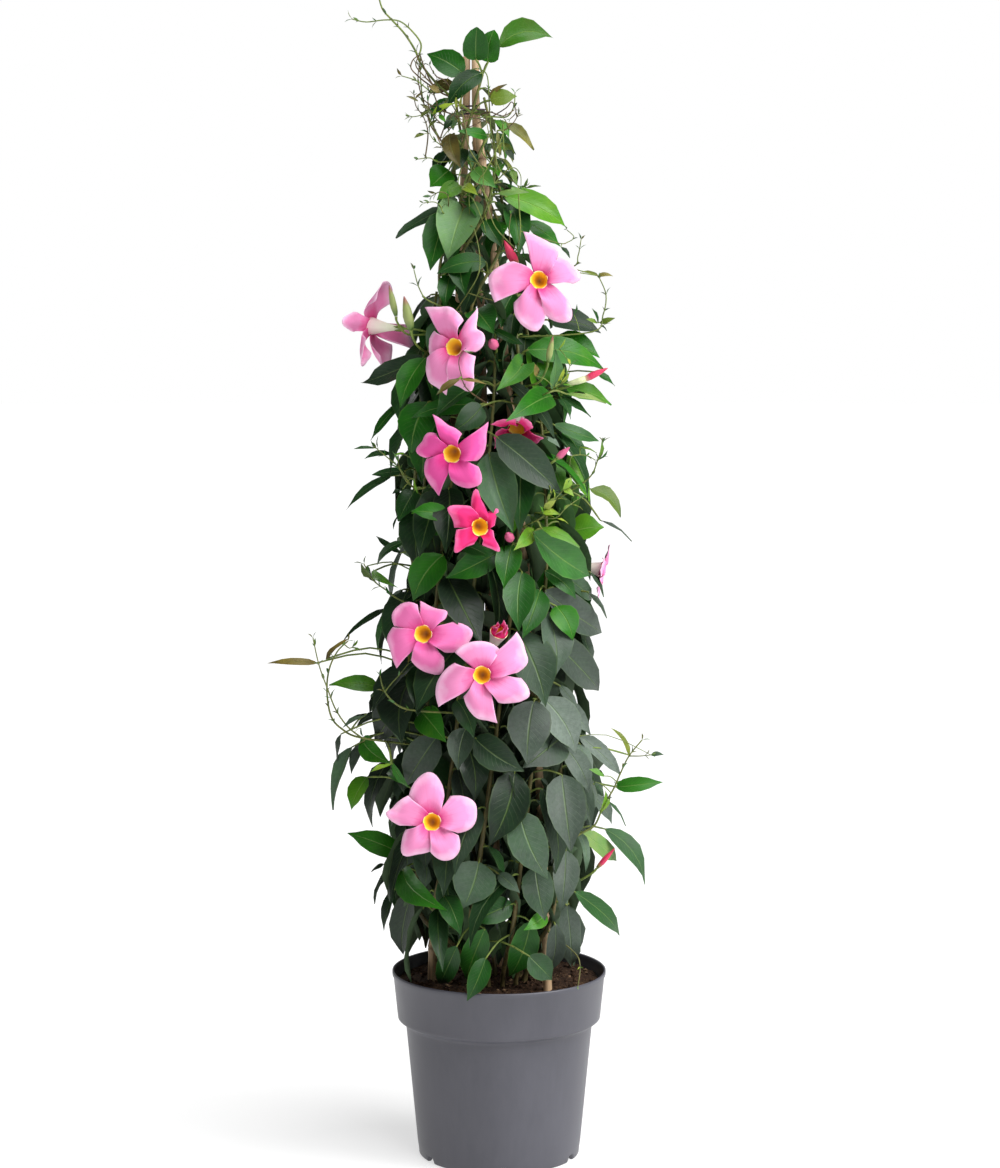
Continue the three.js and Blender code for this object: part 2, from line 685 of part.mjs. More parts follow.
// A stem or a side spray: a tapered centre line, with everything that branches off it.
class Run {
  constructor(stations, root, tip, sides) {
    Object.assign(this, { stations, root, tip, sides, branches: [] });
    this.reach = [0];
    for (let k = 1; k < stations.length; k++) {
      this.reach.push(this.reach[k - 1] + stations[k].distanceTo(stations[k - 1]));
    }
    this.length = this.reach[stations.length - 1];
    ({ tangents: this.tangents, normals: this.normals } = frames(stations));
    this.solid = solidOf(limb(stations, stations.map((_, k) => this.radiusAt(this.reach[k])), sides));
    keep(this.solid);
  }

  radiusAt(at) {
    return between(this.root, this.tip, at / this.length);
  }

  // Centre, tangent and normal at a length along the run.
  frameAt(at) {
    let k = 1;
    while (k < this.reach.length - 1 && at > this.reach[k]) k++;
    const share = (at - this.reach[k - 1]) / (this.reach[k] - this.reach[k - 1]);
    const centre = this.stations[k - 1].clone().lerp(this.stations[k], share);
    const tangent = this.tangents[k - 1].clone().lerp(this.tangents[k], share).normalize();
    const normal = this.normals[k - 1].clone().lerp(this.normals[k], share);
    normal.addScaledVector(tangent, -normal.dot(tangent)).normalize();
    return { centre, tangent, normal, binormal: tangent.clone().cross(normal) };
  }

  // The corners of the run's section at a length along it.
  ringAt(at) {
    const { centre, normal, binormal } = this.frameAt(at);
    const radius = this.radiusAt(at);
    return Array.from({ length: this.sides }, (_, k) => {
      const angle = (k / this.sides) * 2 * Math.PI;
      return centre
        .clone()
        .addScaledVector(normal, Math.cos(angle) * radius)
        .addScaledVector(binormal, Math.sin(angle) * radius);
    });
  }

  // The faces of the run at a length along it, the one that looks most towards a place first.
  facesTowards(at, place) {
    const { centre, normal, binormal } = this.frameAt(at);
    const toward = place.clone().sub(centre);
    const turn = Math.atan2(toward.dot(binormal), toward.dot(normal)) / (2 * Math.PI);
    const off = (face) => Math.abs(((face + 0.5) / this.sides - turn + 1.5) % 1 - 0.5);
    return Array.from({ length: this.sides }, (_, face) => face).sort((a, b) => off(a) - off(b));
  }

  // The point on the centre line that is nearest to a place.
  rootTo(place) {
    const best = { distance: Infinity, run: this };
    for (let k = 1; k < this.stations.length; k++) {
      const line = new THREE.Line3(this.stations[k - 1], this.stations[k]);
      const point = line.closestPointToPoint(place, true, new THREE.Vector3());
      const distance = point.distanceTo(place);
      const at = this.reach[k - 1] + point.distanceTo(this.stations[k - 1]);
      if (distance < best.distance) Object.assign(best, { distance, point, at });
    }
    return best;
  }

  // Gathers the branches into nodes, no two of which overlap and each with one branch to a face.
  nodes() {
    const room = 2 * BRANCH.halfHeight + BRANCH.between;
    const found = [];
    for (const branch of [...this.branches].sort((a, b) => a.at - b.at)) {
      const last = found[found.length - 1];
      const at = THREE.MathUtils.clamp(branch.at, room, this.length - BRANCH.halfHeight - 1);
      const faces = this.facesTowards(at, branch.toward);
      const isNear = last && at - last.at < room;
      const shared = isNear ? faces.slice(0, 2).find((face) => !last.taken.has(face)) : undefined;
      if (shared !== undefined) {
        last.taken.set(shared, branch);
      } else {
        const free = last ? Math.max(at, last.at + room) : at;
        found.push({ at: free, taken: new Map([[faces[0], branch]]) });
      }
    }
    return found;
  }

  // Weaves the run and its branches on from a first ring.
  grow(weave, first) {
    const nodes = this.nodes();
    const rings = nodes.flatMap((node) => [
      { at: node.at - BRANCH.halfHeight, node },
      { at: node.at + BRANCH.halfHeight },
    ]);
    for (const at of this.reach.slice(1)) {
      const isFree = nodes.every((node) => Math.abs(node.at - at) > BRANCH.halfHeight * 3);
      if (isFree || at === this.length) rings.push({ at });
    }
    rings.sort((a, b) => a.at - b.at);
    let lower = first ?? weave.foot(this.ringAt(0));
    let node = null;
    for (const ring of rings) {
      const upper = weave.ring(this.ringAt(ring.at));
      weave.tube(lower, upper, node ? node.taken : new Map());
      lower = upper;
      node = ring.node;
    }
    weave.cap(lower);
  }
}

const runs = [];

function nearestRoots(place) {
  return runs.map((run) => run.rootTo(place)).sort((a, b) => a.distance - b.distance);
}

// A branching limb as one closed mesh. A branch grows out of one face of its parent, so nothing is cut.
class Weave {
  points = [];
  corners = [];

  ring(points) {
    const first = this.points.length;
    this.points.push(...points);
    return points.map((_, k) => first + k);
  }

  fan(ring) {
    for (let k = 2; k < ring.length; k++) this.corners.push(ring[0], ring[k - 1], ring[k]);
  }

  foot(points) {
    const ring = this.ring(points);
    this.fan([...ring].reverse());
    return ring;
  }

  cap(ring) {
    this.fan(ring);
  }

  // Joins two rings. Where a face is taken, its branch grows on from the four corners.
  tube(lower, upper, taken = new Map()) {
    const turned = this.matched(lower, upper);
    lower.forEach((corner, k) => {
      const next = (k + 1) % lower.length;
      const face = [corner, lower[next], turned[next], turned[k]];
      if (taken.has(k)) taken.get(k).grow(this, face);
      else this.fan(face);
    });
    return turned;
  }

  // The upper ring, begun at the corner that twists the tube least.
  matched(lower, upper) {
    if (lower.length !== upper.length) throw new Error("rings of unlike sides");
    const middle = (ring) =>
      ring.reduce((sum, k) => sum.add(this.points[k]), new THREE.Vector3()).divideScalar(ring.length);
    const [from, to] = [middle(lower), middle(upper)];
    const twist = (shift) =>
      lower.reduce((sum, corner, k) => {
        const a = this.points[corner].clone().sub(from).normalize();
        const b = this.points[upper[(k + shift) % upper.length]].clone().sub(to).normalize();
        return sum + a.distanceTo(b);
      }, 0);
    const shifts = lower.map((_, k) => k).sort((a, b) => twist(a) - twist(b));
    return upper.map((_, k) => upper[(k + shifts[0]) % upper.length]);
  }

  geometry() {
    const flat = this.points.flatMap((point) => point.toArray());
    return new THREE.BufferGeometry()
      .setAttribute("position", new THREE.Float32BufferAttribute(flat, 3))
      .setIndex(this.corners);
  }
}

// ---------------------------------------------------------------- leaves

// The blade's own axes: along the chord, out of its upper face, and across.
function bladeAxes(leaf) {
  const along = leaf.tip.clone().sub(leaf.base);
  const length = along.length();
  along.divideScalar(length);
  const up = leaf.up.clone().addScaledVector(along, -leaf.up.dot(along)).normalize();
  return { along, up, across: along.clone().cross(up), length };
}

// The blade's sections from its base to its tip: share of the chord, width and thickness.
function bladeRows(leaf) {
  const outline = leaf.simple ? SIMPLE_OUTLINE : BROAD_OUTLINE;
  return [
    { share: 0, width: LEAF.petioleWidth, thickness: LEAF.petioleThickness },
    ...outline.map(([share, width]) => ({ share, width: width * leaf.width, thickness: LEAF.thickness })),
    { share: 1, width: LEAF.tipWidth, thickness: LEAF.thickness },
  ];
}

// The four corners of each section, turning the same way about the chord. Swell thickens them on every side.
function bladeRings(leaf, swell) {
  const { along, up, across, length } = bladeAxes(leaf);
  return bladeRows(leaf).map((row) => {
    const rise = LEAF.arch * length * 4 * row.share * (1 - row.share);
    const stretch = row.share * (length + 2 * swell) - swell;
    const centre = leaf.base.clone().addScaledVector(along, stretch).addScaledVector(up, rise);
    const [half, thick] = [row.width / 2 + swell, row.thickness / 2 + swell];
    return [
      [half, thick],
      [half, -thick],
      [-half, -thick],
      [-half, thick],
    ].map(([a, u]) => centre.clone().addScaledVector(across, a).addScaledVector(up, u));
  });
}

// The swollen blade on its own, closed at both ends.
function bladeGuard(leaf, swell) {
  const weave = new Weave();
  const [first, ...rest] = bladeRings(leaf, swell);
  let lower = weave.foot(first);
  for (const points of rest) lower = weave.tube(lower, weave.ring(points));
  weave.cap(lower);
  return solidOf(weave.geometry());
}

// A straight guard round the petiole, from a little off the stem to the blade's base.
function petioleGuard(leaf, point, swell) {
  const start = leaf.base.clone().sub(point).setLength(LEAF.petioleStart).add(point);
  return solidOf(limb([start, leaf.base], [0, 0].map(() => LEAF.petioleWidth * 0.5 + swell), 4));
}

// Weaves a leaf on from a face of its stem.
function growLeaf(leaf, weave, face) {
  let lower = face;
  for (const points of bladeRings(leaf, 0)) lower = weave.tube(lower, weave.ring(points));
  weave.cap(lower);
}

// Adds the leaf to its run if it is clear of everything, and says whether it was.
function settle(leaf, { point, at, run }) {
  if (leaf.base.distanceTo(point) < LEAF.petioleStart + 1) return false;
  if (!isClear(petioleGuard(leaf, point, LEAF.clearance), run.solid)) return false;
  if (!isClear(bladeGuard(leaf, LEAF.clearance))) return false;
  keep(petioleGuard(leaf, point, 0));
  keep(bladeGuard(leaf, 0));
  run.branches.push({ at, toward: leaf.base, grow: (weave, face) => growLeaf(leaf, weave, face) });
  return true;
}

// How far out a front leaf's base or tip stands: on a shell round the leaning axis.
function shellOut(column, row, lift) {
  const flat = sighted(column, row, 60);
  const radius = readOff(STEM_SHELL, flat.z) + lift;
  const aside = flat.x - leanAt(flat.z);
  return Math.sqrt(Math.max(radius * radius - aside * aside, 0));
}

function frontLeaf([baseColumn, baseRow, tipColumn, tipRow, width, extra = 0], shift) {
  const baseOut = shellOut(baseColumn, baseRow, FRONT_BASE_LIFT) + (shift + extra) * 0.6;
  const tipOut = shellOut(tipColumn, tipRow, FRONT_TIP_LIFT) + shift + extra;
  const base = sighted(baseColumn, baseRow, baseOut);
  const tip = sighted(tipColumn, tipRow, tipOut);
  const aside = (base.x - leanAt(base.z)) * FRONT_FACING.aside;
  const up = new THREE.Vector3(aside, -baseOut - FRONT_FACING.ahead, FRONT_FACING.rise).normalize();
  return { base, tip, width: width * LEAF.column, up, simple: width < SLIM_WIDTH };
}

function addFrontLeaves() {
  for (const row of FRONT_LEAVES) {
    FRONT_SHIFTS.some((shift) => {
      const leaf = frontLeaf(row, shift);
      return nearestRoots(leaf.base)
        .slice(0, 3)
        .some((root) => settle(leaf, root));
    });
  }
}

function pairHeight(stem, pair) {
  return PAIR.firstHeight + ((stem * 19) % PAIR.spacing) + pair * PAIR.spacing;
}

// One leaf of the pair at a height of a stem, for one throw of the dice.
function pairLeaf(stem, pair, side, attempt) {
  const roll = dice(1 + stem * 100000 + pair * 1000 + side * 100 + attempt);
  const z = pairHeight(stem, pair);
  const root = runs[stem].rootTo(stemPoint(stem, z));
  const high = THREE.MathUtils.clamp((z - PAIR.top.from) / PAIR.top.span, 0, 1);
  const spread = PAIR.spread[pair % 2] + between(-PAIR.spreadPlay, PAIR.spreadPlay, roll());
  const bearing = stemAngle(stem, z) + radians(side ? spread : -spread);
  const steep = attempt < PAIR.tries / 2 ? PAIR.drop : PAIR.steepDrop;
  const drop = radians(between(steep[0], steep[1], roll()) - PAIR.top.drop * high);
  const length = between(PAIR.length[0], PAIR.length[1], roll()) * between(1, PAIR.top.size, high);
  const width = length * between(PAIR.widthShare[0], PAIR.widthShare[1], roll());
  const outward = new THREE.Vector3(Math.cos(bearing), Math.sin(bearing), 0);
  const base = root.point
    .clone()
    .addScaledVector(outward, PAIR.petiole * between(1, PAIR.top.petiole, high))
    .add(new THREE.Vector3(0, 0, 4));
  const tip = base
    .clone()
    .addScaledVector(outward, Math.cos(drop) * length)
    .add(new THREE.Vector3(0, 0, -Math.sin(drop) * length));
  const sway = radians(between(-PAIR.sway, PAIR.sway, roll()));
  const up = new THREE.Vector3(0, 0, 1)
    .addScaledVector(outward, Math.tan(radians(PAIR.lift)))
    .applyAxisAngle(outward, sway);
  return { leaf: { base, tip, width, up, simple: true }, root };
}

// Whether a leaf, seen from ahead, stays within the outline of the column.
function isInOutline(leaf) {
  const { along, across, length } = bladeAxes(leaf);
  return [-0.5, 0.5].every((side) =>
    [0.45, 0.75, 1].every((share) => {
      const aside = share < 1 ? side * leaf.width : 0;
      const place = leaf.base.clone().addScaledVector(along, length * share).addScaledVector(across, aside);
      const [column, row] = seen(place);
      return column > readOff(OUTLINE_LEFT, row) && column < readOff(OUTLINE_RIGHT, row);
    }),
  );
}

// Sets a leaf on each side of every node of the stems, with the first throw that is clear.
function addPairLeaves() {
  const throws = Array.from({ length: PAIR.tries }, (_, attempt) => attempt);
  STEM_TOPS.forEach((top, stem) => {
    for (let pair = 0; pairHeight(stem, pair) < top - 12; pair++) {
      for (const side of [0, 1]) {
        throws.some((attempt) => {
          const { leaf, root } = pairLeaf(stem, pair, side, attempt);
          return isInOutline(leaf) && settle(leaf, root);
        });
      }
    }
  });
}

// ---------------------------------------------------------------- blooms and buds

// A corolla with its mouth at the origin, facing +Y: a tube, a throat and five lobes, of one thin wall.
function corolla(reach, open) {
  const { tube, tubeRadius, throat, wall, perLobe, lobes } = BLOOM;
  const profile = [
    [0, -tube],
    [tubeRadius, -tube],
    [throat + wall, -4],
    [reach * 0.55, 2],
    [reach, 0],
    [reach, wall],
    [reach * 0.55, 2 + wall],
    [throat, -1.5],
    [0, -tube * 0.5],
  ].map(([r, y]) => new THREE.Vector2(r, y));
  const geometry = new THREE.LatheGeometry(profile, lobes * perLobe);
  const position = geometry.getAttribute("position");
  const closing = radians(62 * (1 - open));
  for (let i = 0; i < position.count; i++) {
    const [x, y, z] = [position.getX(i), position.getY(i), position.getZ(i)];
    const radius = Math.hypot(x, z);
    if (radius < throat + wall + 0.5) continue;
    const angle = Math.atan2(z, x);
    const step = (Math.round((angle / (2 * Math.PI)) * lobes * perLobe) + lobes * perLobe) % perLobe;
    const outer = radius > reach * 0.8;
    const drawn = radius * (outer ? LOBE_OUTER : LOBE_MIDDLE)[step];
    const lift = y + (outer ? LOBE_TWIST[step] : LOBE_TWIST[step] * 0.4);
    const beyond = drawn - throat;
    const flat = throat + beyond * Math.cos(closing) - lift * Math.sin(closing);
    const high = beyond * Math.sin(closing) + lift * Math.cos(closing);
    position.setXYZ(i, Math.cos(angle) * flat, high, Math.sin(angle) * flat);
  }
  return geometry;
}

function facing(turn, tilt) {
  const [a, e] = [radians(turn), radians(tilt)];
  return new THREE.Vector3(Math.sin(a) * Math.cos(e), -Math.cos(a) * Math.cos(e), Math.sin(e));
}

// A quadratic bend from the stem to a flower's foot, arriving along the flower's axis.
function stalkStations(root, foot, axis, slack) {
  const reach = foot.distanceTo(root);
  const knee = foot.clone().addScaledVector(axis, -reach * slack);
  const calyx = foot.clone().addScaledVector(axis, -STALK.calyxLength);
  const bend = new THREE.QuadraticBezierCurve3(root, knee, calyx);
  return [...bend.getPoints(STALK.steps - 1), foot];
}

// Weaves a stalk on from a face of its stem.
function growStalk(stations, radii, weave, face) {
  const position = limb(stations, radii, STALK.sides).getAttribute("position");
  let lower = face;
  stations.slice(1).forEach((_, k) => {
    const row = stations.length - 2 - k;
    const points = Array.from({ length: STALK.sides }, (_, side) =>
      new THREE.Vector3().fromBufferAttribute(position, row * (STALK.sides + 1) + side),
    );
    lower = weave.tube(lower, weave.ring(points));
  });
  weave.cap(lower);
}

// Adds a stalk from the nearest stem that it can reach without touching anything.
function addStalk(foot, axis, end) {
  const roots = nearestRoots(foot.clone().addScaledVector(axis, -20)).slice(0, 8);
  for (const { point, at, run } of roots) {
    for (const slack of STALK.slacks) {
      const stations = stalkStations(point, foot, axis, slack);
      const radii = stations.map((_, k) => (k === stations.length - 1 ? end : STALK.radius));
      const guard = limb(stations, radii.map((r) => r + 0.8), STALK.sides);
      if (!isClear(solidOf(guard), run.solid)) continue;
      keep(solidOf(limb(stations, radii, STALK.sides)));
      const grow = (weave, face) => growStalk(stations, radii, weave, face);
      run.branches.push({ at, toward: stations[1], grow });
      return;
    }
  }
  throw new Error("no clear stalk to the foot at " + foot.toArray().map(Math.round));
}

function addBloom(bloom) {
  const axis = facing(bloom.turn, bloom.tilt);
  const mouth = sighted(bloom.at[0], bloom.at[1], bloom.out);
  const mesh = addMesh(bloom.name, corolla(bloom.reach, bloom.open), FINISHES.bloom, bloom.color);
  const upright = new THREE.Matrix4().lookAt(new THREE.Vector3(), axis, new THREE.Vector3(0, 0, 1));
  mesh.quaternion
    .setFromRotationMatrix(upright)
    .multiply(new THREE.Quaternion().setFromAxisAngle(new THREE.Vector3(0, 0, 1), radians(bloom.spin)))
    .multiply(new THREE.Quaternion().setFromAxisAngle(new THREE.Vector3(1, 0, 0), -Math.PI / 2));
  mesh.position.copy(mouth);
  mesh.updateMatrixWorld();
  keep(solidOf(mesh.geometry.clone().applyMatrix4(mesh.matrixWorld)));
  return () => {
    const foot = mouth.clone().addScaledVector(axis, -BLOOM.tube - BLOOM.socketGap);
    addStalk(foot, axis, STALK.calyx);
  };
}

function addBud(bud) {
  const base = sighted(bud.base[0], bud.base[1], bud.out[0]);
  const tip = sighted(bud.tip[0], bud.tip[1], bud.out[1]);
  const axis = tip.clone().sub(base);
  const length = axis.length();
  axis.divideScalar(length);
  const profile = [
    [0, 0],
    [bud.radius * 0.5, 0],
    [bud.radius, length * 0.4],
    [bud.radius * 0.5, length * 0.75],
    [0, length],
  ].map(([r, y]) => new THREE.Vector2(r, y));
  const mesh = addMesh(bud.name, new THREE.LatheGeometry(profile, 6), FINISHES.bud);
  mesh.quaternion.setFromUnitVectors(new THREE.Vector3(0, 1, 0), axis);
  mesh.position.copy(base);
  mesh.updateMatrixWorld();
  keep(solidOf(mesh.geometry.clone().applyMatrix4(mesh.matrixWorld)));
  return () => addStalk(base.clone().addScaledVector(axis, -BLOOM.socketGap), axis, bud.radius * 0.55);
}

// ---------------------------------------------------------------- the whole plant

const pot = makePot();
addMesh("pot", geometryOf(pot), FINISHES.pot);
keep(pot);

for (const cane of CANES) {
  const geometry = caneGeometry(cane, 0);
  addMesh(cane.name, geometry, FINISHES.cane);
  keep(solidOf(geometry));
}
const tie = tieGeometry();
addMesh("tie", tie, FINISHES.tie);
keep(solidOf(tie));

STEM_TOPS.forEach((_, stem) => {
  runs.push(new Run(stemStations(stem), STEM.radius, STEM.tipRadius, STEM.sides));
});

const holes = [
  ...CANES.map((cane) => solidOf(caneGeometry(cane, 0.5))),
  ...STEM_TOPS.map((_, stem) => stemHole(stem)),
];
const soil = makeSoil(holes);
addMesh("soil", geometryOf(soil), FINISHES.soil);
keep(soil);

for (const { route, radius } of SPRAYS) {
  const stations = route.map(([column, row, out]) => sighted(column, row, out));
  const { point, at, run } = nearestRoots(stations[0])[0];
  const spray = new Run([point, ...stations.slice(1)], radius, radius * 0.6, 4);
  runs.push(spray);
  run.branches.push({ at, toward: stations[1], grow: (weave, face) => spray.grow(weave, face) });
}

const stalks = [...BLOOMS.map(addBloom), ...BUDS.map(addBud)];
stalks.forEach((addOne) => addOne());
addFrontLeaves();
addPairLeaves();

STEM_TOPS.forEach((_, stem) => {
  const weave = new Weave();
  runs[stem].grow(weave);
  addMesh("vine_" + (stem + 1), weave.geometry(), FINISHES.leaf);
});

export default part;
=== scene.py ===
import logging
from collections.abc import Callable, Iterable, Sequence
from dataclasses import dataclass, field
from enum import Enum
from math import atan2, cos, dist, hypot, pi, radians, sin, sqrt
from random import Random

import bmesh
import bpy
from bmesh.types import BMesh, BMFace, BMVert
from bpy.types import Material, Node, NodeSocket, Object
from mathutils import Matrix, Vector
from mathutils.geometry import interpolate_bezier
from mathutils.kdtree import KDTree


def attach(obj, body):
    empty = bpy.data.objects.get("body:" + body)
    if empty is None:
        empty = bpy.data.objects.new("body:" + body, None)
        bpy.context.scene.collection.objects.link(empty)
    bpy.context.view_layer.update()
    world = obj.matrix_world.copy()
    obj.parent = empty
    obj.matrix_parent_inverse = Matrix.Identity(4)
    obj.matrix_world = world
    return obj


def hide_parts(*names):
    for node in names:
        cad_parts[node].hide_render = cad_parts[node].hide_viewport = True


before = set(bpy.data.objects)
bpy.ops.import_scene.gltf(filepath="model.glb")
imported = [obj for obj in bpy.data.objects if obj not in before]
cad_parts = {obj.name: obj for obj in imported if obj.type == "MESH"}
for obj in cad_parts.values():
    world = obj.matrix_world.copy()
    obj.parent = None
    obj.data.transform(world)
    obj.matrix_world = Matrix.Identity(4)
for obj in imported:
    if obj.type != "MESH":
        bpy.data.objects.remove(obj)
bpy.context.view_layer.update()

log = logging.getLogger("mandevilla")

Color = tuple[float, float, float, float]
Point = tuple[float, float, float]
Pairs = tuple[tuple[float, float], ...]

BODY = "root"


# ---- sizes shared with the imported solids


@dataclass(frozen=True)
class Sight:
    """The point ahead of the plant that its front is sighted from, and its grid of columns and rows."""

    distance: float = 3.0
    eye_height: float = 0.93
    down: float = radians(5.43)
    focal: float = 2711.0
    axis_column: float = 499.0
    axis_row: float = 584.0
    columns: float = 1000.0
    rows: float = 1168.0

    def place(self, column: float, row: float, out: float) -> Vector:
        """Finds the point that is seen at a place of the grid.

        Args:
            column: column of the grid.
            row: row of the grid, counted down.
            out: how far the point is ahead of the axis, in millimetres.

        Returns:
            The point.
        """
        ahead = out / 1000
        rise = self.axis_row - row
        forward = self.focal * cos(self.down) + rise * sin(self.down)
        upward = rise * cos(self.down) - self.focal * sin(self.down)
        scale = (self.distance - ahead) / forward
        return Vector(((column - self.axis_column) * scale, -ahead, self.eye_height + upward * scale))

    def seen(self, point: Vector) -> tuple[float, float]:
        """Finds the column and row at which a point is seen.

        Args:
            point: the point.

        Returns:
            The column and the row.
        """
        ahead, above = point.y + self.distance, point.z - self.eye_height
        depth = ahead * cos(self.down) - above * sin(self.down)
        rise = ahead * sin(self.down) + above * cos(self.down)
        return self.axis_column + self.focal * point.x / depth, self.axis_row - self.focal * rise / depth


SIGHT = Sight()


@dataclass(frozen=True)
class Apex:
    """Where the canes are drawn together over the soil."""

    height: float = 1.164
    lean: float = -0.029
    spread: float = 0.0065
    soil_level: float = 0.196

    def climb(self, z: float) -> float:
        """Returns the share of the way from the soil to the apex."""
        return (z - self.soil_level) / (self.height - self.soil_level)

    def lean_at(self, z: float) -> float:
        """Returns how far the leaning axis stands to the side at a height."""
        return self.lean * self.climb(z)


APEX = Apex()

# Outline of the leafy column from ahead: row, and the columns of its left and right edges.
OUTLINE = (
    (180, 431, 520), (210, 431, 545), (250, 432, 562), (290, 438, 576), (320, 408, 582), (360, 398, 596),
    (400, 393, 580), (430, 399, 577), (470, 405, 577), (510, 406, 584), (530, 406, 590), (560, 404, 592),
    (600, 390, 598), (640, 383, 596), (680, 376, 582), (710, 368, 582), (740, 358, 592), (770, 350, 612),
    (800, 362, 606), (830, 384, 600), (860, 380, 591), (890, 380, 588), (920, 384, 590), (950, 394, 586),
    (1000, 398, 586),
)
OUTLINE_LEFT = tuple((row, left) for row, left, _ in OUTLINE)
OUTLINE_RIGHT = tuple((row, right) for row, _, right in OUTLINE)


# ---- small helpers


def tint(code: str) -> Color:
    """Turns a colour code into a linear colour.

    Args:
        code: red, green and blue in hexadecimal.

    Returns:
        The colour, with a full alpha.
    """
    shares = [int(code[k : k + 2], 16) / 255 for k in (0, 2, 4)]
    red, green, blue = (c / 12.92 if c <= 0.04045 else ((c + 0.055) / 1.055) ** 2.4 for c in shares)
    return (red, green, blue, 1.0)


def between(low: float, high: float, share: float) -> float:
    """Returns the value that lies a share of the way from low to high."""
    return low + (high - low) * share


def held(value: float, low: float = 0.0, high: float = 1.0) -> float:
    """Returns the value, held within its limits."""
    return max(low, min(high, value))


def read_off(table: Pairs, at: float) -> float:
    """Reads a table of positions and values, straight from row to row.

    Args:
        table: rows of position and value, in order.
        at: position to read at.

    Returns:
        The value there.
    """
    k = 1
    while k < len(table) - 1 and at > table[k][0]:
        k += 1
    (low, first), (high, last) = table[k - 1], table[k]
    return between(first, last, held((at - low) / (high - low)))


def middle(points: Iterable[Vector]) -> Vector:
    """Returns the mean of some points."""
    gathered = list(points)
    return sum(gathered, Vector()) / len(gathered)


def heading(angle: float) -> Vector:
    """Returns the level direction at a bearing."""
    return Vector((cos(angle), sin(angle), 0))


def smooth_route(points: Sequence[Vector], per_span: int) -> list[Vector]:
    """Rounds a route that passes through its points.

    Args:
        points: the points of the route.
        per_span: steps from one point to the next.

    Returns:
        The points of the rounded route.
    """
    last = len(points) - 1
    route = [points[0]]
    for k in range(last):
        before, after = points[max(k - 1, 0)], points[min(k + 2, last)]
        lead_in = points[k] + (points[k + 1] - before) / 6
        lead_out = points[k + 1] - (after - points[k]) / 6
        route.extend(interpolate_bezier(points[k], lead_in, lead_out, points[k + 1], per_span + 1)[1:])
    return route


def tapered(first: float, last: float, count: int) -> list[float]:
    """Returns evenly stepped radii from the first to the last."""
    return [between(first, last, k / (count - 1)) for k in range(count)]


def frames_along(route: Sequence[Vector]) -> list[tuple[Vector, Vector]]:
    """Works out an untwisted normal and binormal at each point of a route.

    Args:
        route: the points of the route.

    Returns:
        A normal and a binormal for each point.
    """
    last = len(route) - 1
    tangents = [(route[min(k + 1, last)] - route[max(k - 1, 0)]).normalized() for k in range(last + 1)]
    normal = Vector((1, 0, 0)) if abs(tangents[0].x) < 0.8 else Vector((0, 1, 0))
    frames = []
    for tangent in tangents:
        normal = (normal - tangent * normal.dot(tangent)).normalized()
        frames.append((normal, tangent.cross(normal)))
    return frames


def sorted_points(points: Iterable[Vector]) -> KDTree:
    """Sorts some points for the search of the nearest.

    Args:
        points: the points.

    Returns:
        The sorted points, by number.
    """
    gathered = list(points)
    tree = KDTree(len(gathered))
    for k, point in enumerate(gathered):
        tree.insert(point, k)
    tree.balance()
    return tree


# ---- mesh helpers


def blank(*layers: str, chart: bool = True) -> BMesh:
    """Starts a mesh.

    Args:
        layers: names of the values that its vertices carry.
        chart: whether it has a UV map.

    Returns:
        The empty mesh.
    """
    shape = bmesh.new()
    if chart:
        shape.loops.layers.uv.new("UVMap")
    for name in layers:
        shape.verts.layers.float.new(name)
    return shape


def faces_of(verts: Iterable[BMVert]) -> list[BMFace]:
    """Returns the faces that touch some vertices, each once."""
    return list({face: None for vert in verts for face in vert.link_faces})


def mark(shape: BMesh, verts: Iterable[BMVert], **values: float) -> None:
    """Writes values into the named layers of some vertices.

    Args:
        shape: the mesh.
        verts: the vertices to mark.
        values: a value for each layer.
    """
    layers = {name: shape.verts.layers.float.get(name) for name in values}
    for vert in verts:
        for name, value in values.items():
            vert[layers[name]] = value


def dress(verts: Iterable[BMVert], material: int) -> None:
    """Shades faces smooth and gives them a material slot.

    Args:
        verts: the vertices of the faces.
        material: the slot.
    """
    for face in faces_of(verts):
        face.smooth = True
        face.material_index = material


def add_tube(
    shape: BMesh, route: Sequence[Vector], radii: Sequence[float], sides: int, material: int = 0
) -> list[BMVert]:
    """Rolls a grid into a tube along a route and closes its ends.

    Args:
        shape: the mesh.
        route: the points of its centre line.
        radii: its radius at each point.
        sides: how many faces go round it.
        material: its material slot.

    Returns:
        The vertices of the tube.
    """
    steps = len(route) - 1
    frames = frames_along(route)
    verts = bmesh.ops.create_grid(shape, x_segments=sides, y_segments=steps, size=1.0, calc_uvs=True)["verts"]
    seam = []
    for vert in verts:
        k = round((vert.co.y + 1) / 2 * steps)
        if abs(vert.co.x) > 0.999:
            seam.append(vert)
        angle = (vert.co.x + 1) * pi
        normal, binormal = frames[k]
        vert.co = route[k] + (normal * cos(angle) + binormal * sin(angle)) * radii[k]
    bmesh.ops.remove_doubles(shape, verts=seam, dist=1e-7)
    verts = [vert for vert in verts if vert.is_valid]
    rim = [edge for vert in verts for edge in vert.link_edges if edge.is_boundary]
    bmesh.ops.holes_fill(shape, edges=list(dict.fromkeys(rim)), sides=sides)
    dress(verts, material)
    return verts


